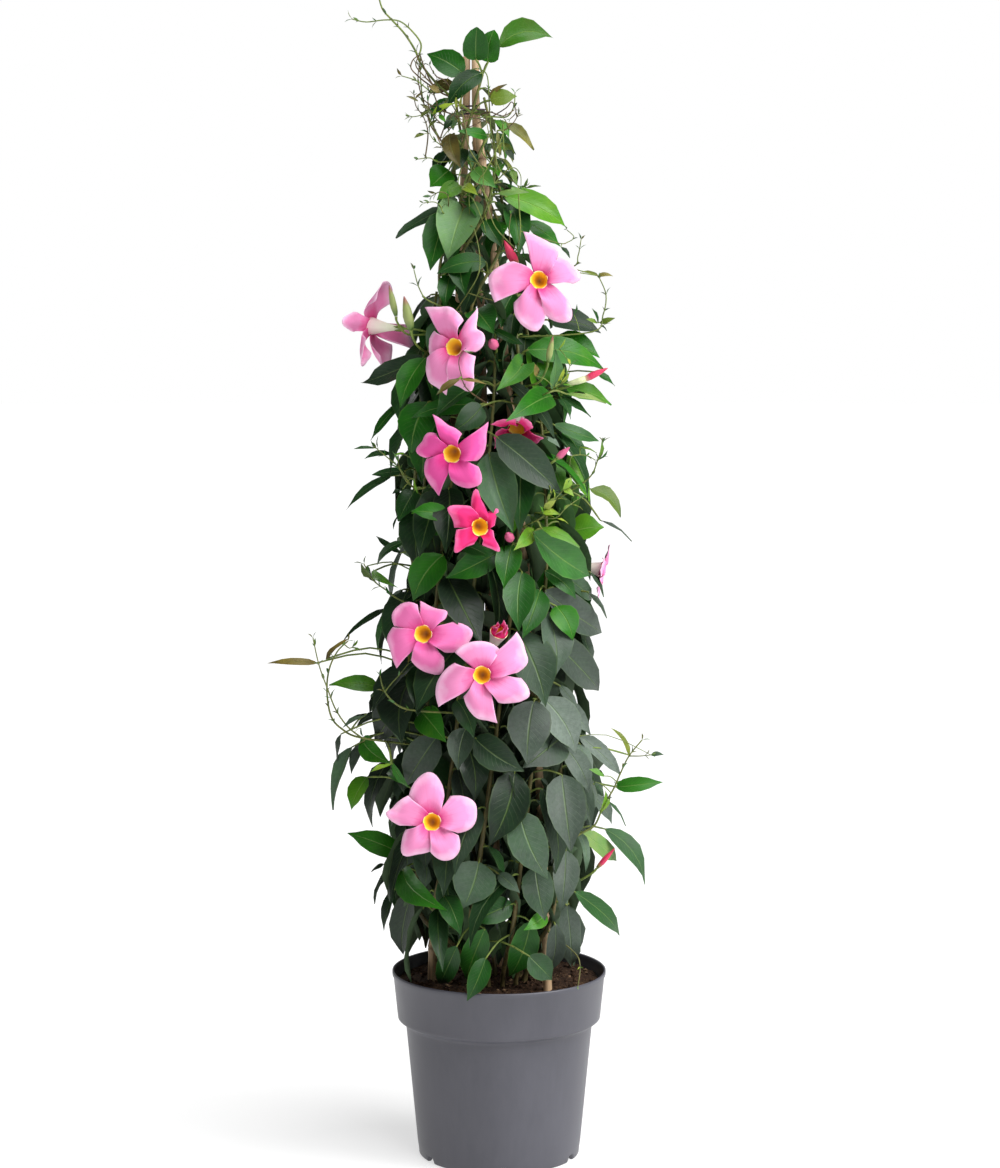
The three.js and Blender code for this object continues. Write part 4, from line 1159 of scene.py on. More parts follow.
class PackedVine:
    """A merged copy of a packed leafy stem, from which the seats of its leaves and stalks are read."""

    TIP = (0.0014, 0.0008)
    PETIOLE = (0.0022, 0.0016)
    SLACK = 2e-5
    BROAD_SHARE = 0.93
    LONGEST_WALK = 6

    def __init__(self, node: str) -> None:
        """Reads a node.

        Args:
            node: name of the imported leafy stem.
        """
        self.shape = bmesh.new()
        self.shape.from_mesh(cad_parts[node].data)
        bmesh.ops.remove_doubles(self.shape, verts=self.shape.verts, dist=1e-5)
        self.shape.verts.ensure_lookup_table()
        self.tree = sorted_points(vert.co for vert in self.shape.verts)

    def is_section(self, ring: Iterable[BMVert], size: tuple[float, float]) -> bool:
        """Tells whether vertices are the corners of a section.

        Args:
            ring: the vertices.
            size: width and thickness of the section.

        Returns:
            Whether they are.
        """
        corners = list(ring)
        gaps = sorted((a.co - b.co).length for k, a in enumerate(corners) for b in corners[k + 1 :])
        return len(gaps) == 6 and abs(gaps[0] - size[1]) < self.SLACK and abs(gaps[2] - size[0]) < self.SLACK

    @staticmethod
    def beyond(ring: set[BMVert], passed: set[BMVert]) -> set[BMVert]:
        """Returns the vertices next to a ring that haven't been passed."""
        return {edge.other_vert(vert) for vert in ring for edge in vert.link_edges} - passed

    def tips(self) -> list[set[BMVert]]:
        """Returns the four corners of each leaf's tip."""
        found = {}
        width, thickness = self.TIP
        for edge in self.shape.edges:
            if abs(edge.calc_length() - thickness) > 1e-5:
                continue
            ring = set(edge.verts)
            for vert in self.beyond(ring, ring):
                if min((vert.co - end.co).length for end in edge.verts) < width + 1e-5:
                    ring = ring | {vert}
            if len(ring) == 4 and self.is_section(ring, self.TIP):
                found[frozenset(vert.index for vert in ring)] = ring
        return list(found.values())

    def leaves(self) -> list[LeafSeat]:
        """Returns the seat of every leaf of the node."""
        seats = []
        for tip in self.tips():
            rings, passed = [tip], set(tip)
            while not self.is_section(rings[-1], self.PETIOLE) and len(rings) < self.LONGEST_WALK:
                rings.append(self.beyond(rings[-1], passed))
                passed |= rings[-1]
            face = self.beyond(rings[-1], passed)
            centres = [middle(vert.co for vert in ring) for ring in rings]
            chord = centres[-1] - centres[0]
            bulge = centres[1] - centres[0]
            up = (bulge - chord * (bulge.dot(chord) / chord.length_squared)).normalized()
            widths = [max((a.co - b.co).length for a in ring for b in ring) for ring in rings[1:-1]]
            width = widths[0] if len(widths) == 1 else max(widths) / self.BROAD_SHARE
            root = middle(vert.co for vert in face)
            seats.append(LeafSeat(centres[-1].copy(), centres[0].copy(), up, width, root))
        return seats

    def stalk(self, foot: Vector, end: float) -> list[Vector] | None:
        """Reads the stalk that ends at a foot.

        Args:
            foot: middle of the stalk's last section.
            end: radius of that section.

        Returns:
            The middles of its sections from the stem to the foot, or None if this node doesn't carry it.
        """
        near = self.tree.find_n(foot, 4)
        if any(abs(distance - end) > self.SLACK for _, _, distance in near):
            return None
        ring = {self.shape.verts[index] for _, index, _ in near}
        passed, centres = set(ring), [middle(vert.co for vert in ring)]
        for _ in range(3):
            ring = self.beyond(ring, passed)
            passed |= ring
            centres.append(middle(vert.co for vert in ring))
        return centres[::-1]


# ---- the climber


@dataclass
class Stem:
    """A stem or side spray: its rounded centre line with a radius at each point."""

    route: list[Vector]
    radii: list[float]
    tender: float
    reach: KDTree = field(init=False)

    def __post_init__(self) -> None:
        """Prepares the search for the nearest point of the line."""
        self.reach = sorted_points(self.route)


class LeafForm(Enum):
    """The outlines of the leaves."""

    OVAL = Blade(
        (
            (0, 0.1), (0.05, 0.46), (0.16, 0.86), (0.32, 1), (0.51, 0.97), (0.7, 0.71), (0.86, 0.29),
            (1, 0.02),
        ),
    )
    HEART = Blade(
        (
            (0, 0.55), (0.05, 0.88), (0.17, 1), (0.34, 0.95), (0.53, 0.8), (0.71, 0.55), (0.87, 0.26),
            (1, 0.02),
        ),
        cleft=0.17,
    )
    ROUND = Blade(
        (
            (0, 0.25), (0.05, 0.6), (0.16, 0.92), (0.34, 1), (0.56, 0.99), (0.76, 0.82), (0.91, 0.48),
            (1, 0.05),
        ),
    )
    SLIP = Blade(((0, 0.25), (0.3, 0.95), (0.62, 0.8), (1, 0.05)), across=2)


@dataclass
class Traits:
    """What makes one leaf differ from the next."""

    age: float
    dust: float
    bronze: float = 0.0
    fold: float = 0.1
    curl: float = 0.05
    wave: float = 0.02
    sway: float = 0.0
    twist: float = 0.0
    breadth: float = 1.0
    form: LeafForm = LeafForm.OVAL


@dataclass(frozen=True)
class Shade:
    """The look of the leaf that is seen at a place of the front."""

    column: float
    row: float
    age: float
    dust: float = 0.0
    bronze: float = 0.0
    breadth: float = 1.0
    fold: float | None = None
    sway: float | None = None
    form: LeafForm = LeafForm.OVAL


@dataclass(frozen=True)
class Mood:
    """The darkness and greyness of the leaves round a place of the front: partly how old and dusty they are,
    partly painted shade in the deep gap and down the left side and painted sheen down the right side.
    """

    column: float
    row: float
    reach: float
    age: float
    dust: float


# Areas of the front: the darkest, in the deep gap and down the left side, are painted shade; the greyest,
# down the right side, are painted sheen.
MOODS = (
    Mood(475, 600, 30, 1, 0), Mood(388, 800, 46, 1, 0), Mood(392, 900, 46, 0.97, 0.2),
    Mood(394, 700, 40, 0.95, 0.15), Mood(578, 660, 40, 0.85, 0.45), Mood(575, 750, 42, 0.8, 0.8),
    Mood(575, 830, 40, 0.85, 0.5), Mood(565, 900, 44, 0.85, 0.42), Mood(500, 780, 60, 0.92, 0.3),
    Mood(480, 880, 50, 0.8, 0.35), Mood(490, 960, 60, 0.72, 0.08), Mood(580, 350, 50, 0.5, 0.1),
    Mood(560, 430, 40, 0.6, 0.1), Mood(570, 510, 46, 0.35, 0.1), Mood(420, 530, 50, 0.72, 0.08),
    Mood(560, 580, 44, 0.6, 0.15),
)

# Looks of single leaves of the front; their darker tones partly paint shade and their greys partly paint
# sheen.
SHADES = tuple(Shade(*row) for row in (
    (526, 38, 0.44, 0, 0.16, 1, None, -0.17), (476, 44, 0.6, 0, 0, 1.3, 0.3, None, LeafForm.ROUND),
    (490, 47, 0.5, 0, 0, 1.3, 0.3, None, LeafForm.ROUND), (445, 61, 0.6), (439, 87, 0.9, 0, 0.4),
    (463, 87, 0.8), (503, 96, 0.24, 0, 0.45), (474, 131, 0.44), (522, 134, 0.4, 0, 0.75),
    (454, 147, 0.9, 0, 0.5, 1.2), (508, 151, 0.6, 0, 0.4), (462, 155, 0.9), (441, 162, 0.8),
    (484, 176, 0.36, 0.3, 0, 1, 0.4), (439, 177, 0.42, 0, 0, 1.2, 0.2), (469, 187, 0.12, 0, 0.25),
    (449, 191, 0.36, 0, 0.15), (540, 209, 0.26, 0, 0, 1, 0.35), (416, 221, 0.75, 0.25),
    (455, 231, 0.3, 0.62, 0, 1, 0.5, None, LeafForm.HEART), (436, 238, 0.6), (546, 231, 0.45),
    (605, 275, 0.3, 0, 0.85), (590, 272, 0.3, 0, 0.6), (575, 323, 0.95, 0.2), (579, 344, 0.46),
    (570, 357, 0.42), (557, 371, 0.4, 0.45, 0, 1.1),
    (512, 374, 0.36, 0.25, 0, 1, 0.6, None, LeafForm.HEART), (537, 402, 0.5, 0, 0, 1.15, 0.2),
    (538, 409, 0.9, 0.2, 0, 0.6), (443, 410, 0.62), (418, 426, 0.6), (580, 431, 0.55, 0.25),
    (576, 450, 0.62), (578, 463, 0.75, 0.1, 0, 0.55), (531, 465, 0.9, 0.3, 0, 1, 0.3),
    (565, 468, 0.5, 0, 0, 0.6), (501, 490, 0.66, 0.42, 0, 1, 0.75), (516, 513, 0.34),
    (519, 491, 0.75, 0.1, 0, 0.7), (608, 500, 0.38, 0.25, 0.4, 1, None, -0.12), (587, 527, 0.26, 0, 0, 1.1),
    (579, 547, 0.7, 0.1, 0, 0.7), (568, 555, 0.46, 0.3, -0.02, 1, 0.6), (525, 537, 0.16),
    (444, 516, 0.95, 0, 0, 0.8), (427, 520, 0.9, 0, 0, 0.8), (425, 511, 0.36), (439, 525, 0.55, 0.1),
    (417, 535, 0.85, 0.1), (426, 577, 0.5), (472, 564, 0.6, 0.05), (508, 564, 0.55, 0.05), (379, 576, 0.25),
    (562, 584, 0.55, 0.15), (584, 588, 0.7, 0.5), (521, 599, 0.62, 0.12, 0, 1, 0.4), (533, 611, 0.6, 0.1),
    (582, 613, 0.95, 0.5), (565, 621, 0.42, 0.05), (335, 647, 0.4, 0.1, 0.95), (291, 660, 0.4, 0.1, 0.95),
    (583, 667, 0.95, 0.45), (354, 684, 0.3, 0, 0, 1, 0.2), (581, 709, 0.85, 0.3, 0, 0.7),
    (578, 717, 0.85, 0.85), (430, 724, 0.42, 0.08, 0, 1, 0.2), (561, 725, 0.75, 1), (531, 731, 0.98, 0.5),
    (622, 740, 0.2, 0, 0.6), (546, 749, 0.9, 0.35, 0, 1.1), (372, 749, 0.4), (498, 753, 0.9, 0.18),
    (604, 754, 0.85, 0.9), (579, 770, 0.85, 0.75), (395, 772, 0.4, 0.1), (578, 785, 0.85, 0.4, 0, 0.75),
    (587, 797, 0.85, 0.4, 0, 0.6), (639, 782, 0.42, 0.1), (356, 792, 0.28, 0, 0, 1, 0.2),
    (502, 808, 0.95, 0.15), (568, 811, 0.94, 0.52), (554, 831, 0.9, 0.2, 0, 0.7), (373, 842, 0.44),
    (534, 845, 0.74, 0.5), (605, 846, 0.14, 0.55), (630, 854, 0.64, 0.35, 0, 1, None, -0.08),
    (565, 878, 0.9, 0.55), (470, 884, 0.74, 0.5), (508, 882, 0.7, 0.6), (415, 885, 0.44, 0.05, 0, 1, 0.3),
    (540, 893, 0.8, 0.4), (604, 915, 0.62, 0.2), (537, 920, 0.36, 0.1), (450, 914, 0.62, 0.15),
    (492, 913, 0.72, 0.05), (486, 908, 0.85, 0.1, 0, 0.5), (441, 935, 0.8, 0.1, 0, 0.5),
    (409, 941, 0.95, 0.15, 0, 0.45), (397, 863, 0.97, 0.1, 0, 0.5), (391, 862, 1, 0, 0, 0.5),
    (441, 858, 0.85, 0.2, 0, 0.75), (465, 838, 0.9, 0.25, 0, 0.8), (410, 927, 0.97, 0.3),
    (573, 941, 0.9, 0.55), (519, 953, 0.58, 0.1), (472, 959, 0.55, 0.1), (541, 969, 0.75, 0.3),
    (444, 969, 0.7, 0.1),
))


@dataclass
class Climber:
    """Everything that grows from the soil: twelve leafy stems with their sprays, leaves and flower stalks."""

    tops: tuple[float, ...] = (
        1.202, 0.897, 1.126, 0.968, 1.180, 0.852, 1.155, 0.918, 1.190, 0.946, 1.140, 0.882
    )
    shell: Pairs = (
        (0.212, 0.034), (0.265, 0.089), (0.412, 0.088), (0.69, 0.082), (0.848, 0.068), (0.964, 0.046),
        (1.06, 0.032), (1.126, 0.022), (1.204, 0.019),
    )
    radius: float = 0.0028
    tip_radius: float = 0.0015
    root_depth: float = 0.035
    bend: float = 0.212
    spiral_low: float = 0.250
    step: float = 0.066
    turn: float = 75.0
    spiral: float = 190.0
    spiral_from: float = 0.964
    offset: float = 0.29
    sides: int = 8
    breadth: float = 1.06
    spacing: float = 0.022
    clear: float = 0.009
    flower_room: float = 0.05
    tries: int = 5
    room_behind: float = 0.030
    room_ahead: float = 0.010
    inset: float = 7.0
    noted_reach: float = 1.5
    rim_breadth: float = 0.5
    seed: int = 5
    stems: list[Stem] = field(default_factory=list)
    shapes: list[BMesh] = field(default_factory=list)

    def stem_angle(self, stem: int, z: float) -> float:
        """Works out the bearing of a stem at a height.

        Args:
            stem: number of the stem.
            z: the height.

        Returns:
            The bearing.
        """
        climb = held((z - self.spiral_low) / (self.spiral_from - self.spiral_low))
        wind = max(0.0, (z - self.spiral_from) / (APEX.height - self.spiral_from))
        turned = (stem + self.offset) * (360 / len(self.tops)) + self.turn * climb + self.spiral * wind
        return radians(turned)

    def stem_point(self, stem: int, z: float) -> Vector:
        """Returns the middle of a stem at a height."""
        angle, radius = self.stem_angle(stem, z), read_off(self.shell, z)
        return Vector((APEX.lean_at(z) + radius * cos(angle), radius * sin(angle), z))

    def make_stems(self) -> None:
        """Lays out the centre lines of the stems."""
        for stem, top in enumerate(self.tops):
            count = round((top - self.bend) / self.step)
            points = [self.stem_point(stem, self.bend)]
            points[0].z = APEX.soil_level - self.root_depth
            points += [self.stem_point(stem, between(self.bend, top, k / count)) for k in range(count + 1)]
            route = smooth_route(points, 6)
            self.stems.append(Stem(route, tapered(self.radius, self.tip_radius, len(route)), 0.12))

    @staticmethod
    def start() -> BMesh:
        """Returns an empty mesh with the layers that the finishes read."""
        return blank("age", "dust", "bronze", "tender")

    def shape_of(self, number: int) -> BMesh:
        """Returns the mesh that carries a stem or spray."""
        return self.shapes[number % len(self.shapes)]

    def add_stem(self, shape: BMesh, stem: Stem, sides: int) -> None:
        """Adds the tube of a stem to a mesh.

        Args:
            shape: the mesh.
            stem: the stem.
            sides: how many faces go round it.
        """
        part = self.start()
        for vert in add_tube(part, stem.route, stem.radii, sides):
            share = held((vert.co.z - 0.25) / 0.95)
            mark(part, [vert], tender=held(stem.tender + 0.4 * share))
        append(shape, part)

    def host(self, place: Vector) -> tuple[int, Vector]:
        """Finds the stem nearest to a place.

        Args:
            place: the place.

        Returns:
            The number of the stem and its nearest point.
        """
        found = [stem.reach.find(place) for stem in self.stems]
        number = min(range(len(found)), key=lambda k: found[k][2])
        return number, found[number][0]

    def in_outline(self, column: float, row: float) -> bool:
        """Tells whether a place of the sight's grid lies within the outline of the leafy column."""
        left, right = read_off(OUTLINE_LEFT, row), read_off(OUTLINE_RIGHT, row)
        return left + self.inset < column < right - self.inset

    def traits(self, seat: LeafSeat, dice: Random, noted: bool) -> Traits:
        """Draws the look of a leaf from its place, or takes the one noted for it.

        Args:
            seat: where the leaf sits.
            dice: the stream of draws.
            noted: whether the leaf may take a noted look.

        Returns:
            The traits of the leaf.
        """
        centre = seat.at(0.5)
        low = held((0.72 - centre.z) / 0.3)
        high = held((centre.z - 0.86) / 0.25)
        usual_age_and_shade, usual_dust = 0.74 + 0.14 * low - 0.2 * high, 0.1 + 0.3 * low - 0.08 * high
        column, row = SIGHT.seen(centre)
        ahead = centre.y < 0.02

        def distance(spot: Mood | Shade) -> float:
            """Returns how far a spot of the front is from the leaf."""
            return hypot(spot.column - column, spot.row - row)

        # An area of the front sets the usual darkness and greyness, partly as painted shade and painted
        # sheen.
        if ahead:
            mood = min(MOODS, key=lambda spot: distance(spot) / spot.reach)
            if distance(mood) < mood.reach:
                usual_age_and_shade, usual_dust = mood.age, mood.dust
        traits = Traits(
            age=held(dice.gauss(usual_age_and_shade, 0.1), 0.12, 1.0),
            dust=held(dice.gauss(usual_dust, 0.1)),
            bronze=0.6 if centre.z > 1.02 and dice.random() < 0.22 else 0.0,
            fold=dice.uniform(0.05, 0.55),
            curl=dice.uniform(-0.04, 0.2),
            wave=dice.uniform(0.0, 0.035),
            sway=dice.uniform(-0.07, 0.07),
            twist=dice.gauss(0.0, 0.3),
        )
        if not ahead and not self.in_outline(column, row):
            traits.breadth = self.rim_breadth
        near = min(SHADES, key=distance)
        if noted and ahead and distance(near) < self.noted_reach:
            traits.age, traits.dust, traits.bronze = near.age, near.dust, near.bronze
            traits.breadth, traits.form = near.breadth, near.form
            traits.sway = traits.sway if near.sway is None else near.sway
            traits.fold = min(traits.fold, 0.35) if near.fold is None else near.fold
            traits.twist *= 0.5
        return traits

    def add_leaf(self, shape: BMesh, seat: LeafSeat, traits: Traits) -> None:
        """Adds a leaf and its petiole to a mesh.

        Args:
            shape: the mesh of its stem.
            seat: where the leaf sits.
            traits: its look.
        """
        chord = seat.tip - seat.base
        length = chord.length
        along = chord / length
        up = (seat.up - along * seat.up.dot(along)).normalized()
        across = along.cross(up)
        lobe = seat.width * self.breadth * traits.breadth / 2

        def place(side: float, share: float, width: float) -> Vector:
            """Places a point of the leaf.

            Args:
                side: its place across.
                share: its share of the length.
                width: the share of the width there.

            Returns:
                The point.
            """
            curl = traits.curl * length * max(0.0, share - 0.7) ** 1.5
            rise = seat.ARCH * length * 4 * share * (1 - share) - curl
            cup = traits.fold * lobe * width * (0.7 * abs(side) + 0.3 * side * side - 0.3)
            ripple = traits.wave * length * sin(9 * share + 2 * side + traits.sway * 90) * side * side
            bend = traits.sway * length * 4 * share * (1 - share)
            turned = traits.twist * (share - 0.35)
            reach = share - traits.form.value.cleft * abs(side) * (1 - share) ** 6
            spread = side * lobe * width
            aside = across * (spread * cos(turned) + bend) + up * (spread * sin(turned))
            return seat.base + along * (reach * length) + aside + up * (rise + cup + ripple)

        part = self.start()
        verts = traits.form.value.add(part, place, 1, 2)
        mark(part, verts, age=traits.age, dust=traits.dust, bronze=traits.bronze)
        knee = seat.root.lerp(seat.base, 0.5) + Vector((0, 0, 0.12 * (seat.base - seat.root).length))
        route = smooth_route([seat.root, knee, seat.base + up * 0.0001], 3)
        route.append(seat.base + along * length * 0.06 + up * 0.0012 * length)
        thick = min(0.0011, length * 0.035)
        stalk = add_tube(part, route, [thick] * 6 + [thick * 0.8, thick * 0.45], 5 if length > 0.02 else 3)
        mark(part, stalk, tender=0.9 - 0.5 * traits.dust)
        append(shape, part)

    def build_packed(self) -> tuple[list[PackedVine], list[LeafSeat]]:
        """Reads every packed vine and grows its leaves.

        Returns:
            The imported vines, and the seats of all their leaves.
        """
        dice = Random(self.seed)
        vines, seats = [], []
        for number, stem in enumerate(self.stems):
            vine = PackedVine(f"vine_{number + 1}")
            shape = self.start()
            self.add_stem(shape, stem, self.sides)
            for seat in vine.leaves():
                _, seat.root = self.host(seat.root)
                self.add_leaf(shape, seat, self.traits(seat, dice, True))
                seats.append(seat)
            vines.append(vine)
            self.shapes.append(shape)
        return vines, seats

    def grow_inner(self, seats: list[LeafSeat], flowers: Sequence[Vector]) -> int:
        """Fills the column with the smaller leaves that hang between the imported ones.

        Args:
            seats: the leaves that are there already, to which these are added.
            flowers: the mouths of the flowers, which stay in view.

        Returns:
            How many leaves were added.
        """
        dice = Random(self.seed + 1)
        taken = [seat.at(share) for seat in seats for share in (0.2, 0.5, 0.8)]
        before = len(seats)
        for number, top in enumerate(self.tops):
            z = 0.235 + 0.011 * (number % 3)
            while z < top - 0.02:
                tree = sorted_points(taken)
                for side in (-1, 1, -2, 2):
                    for _ in range(self.tries):
                        seat = self.inner_seat(number, z, side, dice)
                        line = [seat.at(share) for share in (0.25, 0.5, 0.75, 1.0)]
                        crowded = any(tree.find(point)[2] < self.clear for point in line)
                        gaps = [(point - mouth).length for point in line for mouth in flowers]
                        if not crowded and min(gaps) >= self.flower_room and self.within(seat):
                            self.add_leaf(self.shapes[number], seat, self.traits(seat, dice, False))
                            seats.append(seat)
                            taken += [seat.at(share) for share in (0.2, 0.5, 0.8)]
                            break
                z += self.spacing
        return len(seats) - before

    def within(self, seat: LeafSeat) -> bool:
        """Tells whether a leaf stays over the soil, within the column and behind the leaves of its front.

        Args:
            seat: where the leaf sits.

        Returns:
            Whether it does.
        """
        aside = (seat.tip - seat.base).cross(seat.up).normalized() * seat.width / 2
        for share, breadth in ((0.25, 1.0), (0.5, 1.0), (0.75, 0.6), (1.0, 0.0)):
            point = seat.at(share)
            room = between(self.room_behind, self.room_ahead, held(-point.y / 0.03))
            reach = hypot(point.x - APEX.lean_at(point.z), point.y)
            if reach > read_off(self.shell, point.z) + room or point.z < 0.205:
                return False
            if not all(self.in_outline(*SIGHT.seen(point + aside * breadth * side)) for side in (-1, 1)):
                return False
        return True

    def inner_seat(self, number: int, z: float, side: int, dice: Random) -> LeafSeat:
        """Draws the seat of a leaf at a height of a stem.

        Args:
            number: number of the stem.
            z: height of its root.
            side: -1 or 1 to look out to either side of the stem, -2 or 2 to look inwards.
            dice: the stream of draws.

        Returns:
            The seat.
        """
        _, root = self.host(self.stem_point(number, z))
        high = held((z - 0.85) / 0.25)
        outward = heading(self.stem_angle(number, z) + radians(side * dice.uniform(15, 85)))
        drop = radians(dice.uniform(48, 84) - 24 * high)
        length = dice.uniform(0.050, 0.078) * between(1, 0.42, high)
        base = root + outward * dice.uniform(0.008, 0.016) * between(1, 0.6, high) + Vector((0, 0, 0.003))
        tip = base + outward * cos(drop) * length - Vector((0, 0, sin(drop) * length))
        up = outward * 0.8 + Vector((0, 0, 0.6)) + Vector((dice.gauss(0, 0.2), dice.gauss(0, 0.2), 0))
        return LeafSeat(base, tip, up.normalized(), length * dice.uniform(0.42, 0.52), root)

    def add_stalk(self, vines: Sequence[PackedVine], foot: Vector, end: float) -> None:
        """Grows the stalk that carries a flower or bud.

        Args:
            vines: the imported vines.
            foot: where the stalk ends.
            end: radius of its packed end.
        """
        for number, vine in enumerate(vines):
            centres = vine.stalk(foot, end)
            if centres is None:
                continue
            _, root = self.host(centres[0])
            route = smooth_route([root, *centres[1:]], 5)
            radii = [0.0012] * (len(route) - 4) + tapered(0.0014, end * 0.85, 4)
            part = self.start()
            mark(part, add_tube(part, route, radii, 7), tender=0.9)
            append(self.shapes[number], part)
            return
        log.warning("no packed stalk ends at %s", foot)

    def build(self) -> list[Object]:
        """Returns the finished leafy stems."""
        finishes = [StemBark().make(), LeafSkin(LeafFace.UPPER).make(), LeafSkin(LeafFace.UNDER).make()]
        return [
            finish_piece(shape, f"leafy_stem_{number + 1}", finishes, "leaf", [f"vine_{number + 1}"])
            for number, shape in enumerate(self.shapes)
        ]


@dataclass(frozen=True)
class Spray:
    """A thin side shoot: its radius at the root, and its route as column, row and place ahead in turn.

    The radius, the places ahead and the sizes of its leaflets are in millimetres.
    """

    radius: float
    route: tuple[float, ...]
    leaflet: float = 8.0
    spacing: float = 16.0
    bare: float = 0.35
    age: float = 0.45
    tender: float = 0.45

    def grow(self, climber: Climber) -> None:
        """Grows the spray from the nearest stem, with its leaflets.

        Args:
            climber: the climber that carries it.
        """
        points = [SIGHT.place(*self.route[k : k + 3]) for k in range(0, len(self.route), 3)]
        number, root = climber.host(points[0])
        route = smooth_route([root, *points[1:]], 5)
        radius = self.radius / 1000
        spray = Stem(route, tapered(radius, radius * 0.6, len(route)), self.tender)
        climber.stems.append(spray)
        shape = climber.shape_of(number)
        climber.add_stem(shape, spray, 6)
        self.add_leaflets(climber, shape, route)

    def add_leaflets(self, climber: Climber, shape: BMesh, route: Sequence[Vector]) -> None:
        """Sets pairs of leaflets along the spray and a fork of them at its end.

        Args:
            climber: the climber that makes the leaves.
            shape: the mesh of the stem that carries the spray.
            route: the centre line of the spray.
        """
        dice = Random(round(self.route[0] * 7 + self.route[-2] * 13))
        frames = frames_along(route)
        last = len(route) - 1
        walked, turned = 0.0, dice.uniform(0, pi)
        for k in range(1, last + 1):
            step = route[k] - route[k - 1]
            walked += step.length
            if k < last and (k < last * self.bare or walked < self.spacing / 1000):
                continue
            walked, turned = 0.0, turned + dice.uniform(1.0, 2.0)
            normal, binormal = frames[k]
            ahead = step.normalized()
            for facing in (turned, turned + pi):
                outward = normal * cos(facing) + binormal * sin(facing)
                length = self.leaflet / 1000 * dice.uniform(0.7, 1.3)
                reach = (ahead * dice.uniform(0.6, 1.4) + outward).normalized()
                base = route[k] + reach * 0.12 * length
                up = (ahead - reach * 0.5 + Vector((0, -0.3, 0.5))).normalized()
                seat = LeafSeat(base, base + reach * length, up, length * dice.uniform(0.22, 0.36), route[k])
                age, bronze = self.age + dice.uniform(-0.25, 0.25), dice.choice((0.0, 0.3, 0.7))
                fresh = self.age < 0.3
                young = Traits(held(age), 0.1, 0.0 if fresh else bronze, 0.3, form=LeafForm.SLIP)
                climber.add_leaf(shape, seat, young)


SPRAYS = tuple(Spray(*row) for row in (
    (1.5, (462, 112, 22, 448, 94, 26, 437, 84, 26, 421, 64, 22, 415, 50, 20, 404, 33, 18, 391, 19, 16, 382,
        8, 14, 377, -12, 12)),
    (1, (419, 58, 21, 421, 44, 24, 411, 30, 24, 399, 21, 24, 384, 20, 24, 366, 22, 22, 352, 19, 20)),
    (1, (470, 168, 20, 448, 150, 30, 434, 128, 30, 424, 104, 28, 421, 84, 26, 420, 66, 23)),
    (0.9, (440, 90, 26, 432, 92, 34, 417, 81, 36, 402, 76, 36)),
    (1, (482, 120, 22, 497, 117, 30, 508, 116, 32, 514, 106, 32, 515, 93, 30)),
    (1, (449, 312, 60, 431, 302, 66, 420, 290, 66, 414, 270, 64)),
    (1, (568, 330, 60, 592, 332, 52, 603, 315, 48, 606, 295, 46, 599, 277, 46)),
    (0.9, (556, 285, 30, 571, 268, 36, 578, 256, 36, 581, 240, 36)),
    (1.1, (424, 500, 60, 410, 484, 62, 399, 468, 60, 388, 458, 58, 376, 448, 56)),
    (1.1, (575, 500, 56, 587, 480, 52, 598, 459, 50, 603, 442, 50)),
    (1.1, (424, 612, 48, 400, 600, 56, 386, 590, 56, 373, 580, 56, 364, 564, 56)),
    (1.3, (436, 716, 92, 420, 711, 104, 399, 706, 104, 385, 692, 98, 380, 676, 94)),
    (1.3, (400, 752, 66, 362, 738, 66, 342, 729, 62, 331, 716, 58, 327, 692, 54, 329, 670, 52, 337, 652, 50,
        348, 641, 48)),
    (1.1, (364, 742, 72, 348, 727, 74, 336, 710, 70, 328, 690, 66, 319, 665, 62, 313, 638, 60)),
    (1.3, (566, 846, 52, 580, 834, 58, 594, 826, 58, 601, 812, 56, 607, 800, 54, 614, 788, 52, 621, 772, 50,
        629, 756, 48, 642, 740, 46)),
    (0.8, (629, 757, 49, 640, 756, 54, 651, 755, 56)),
))

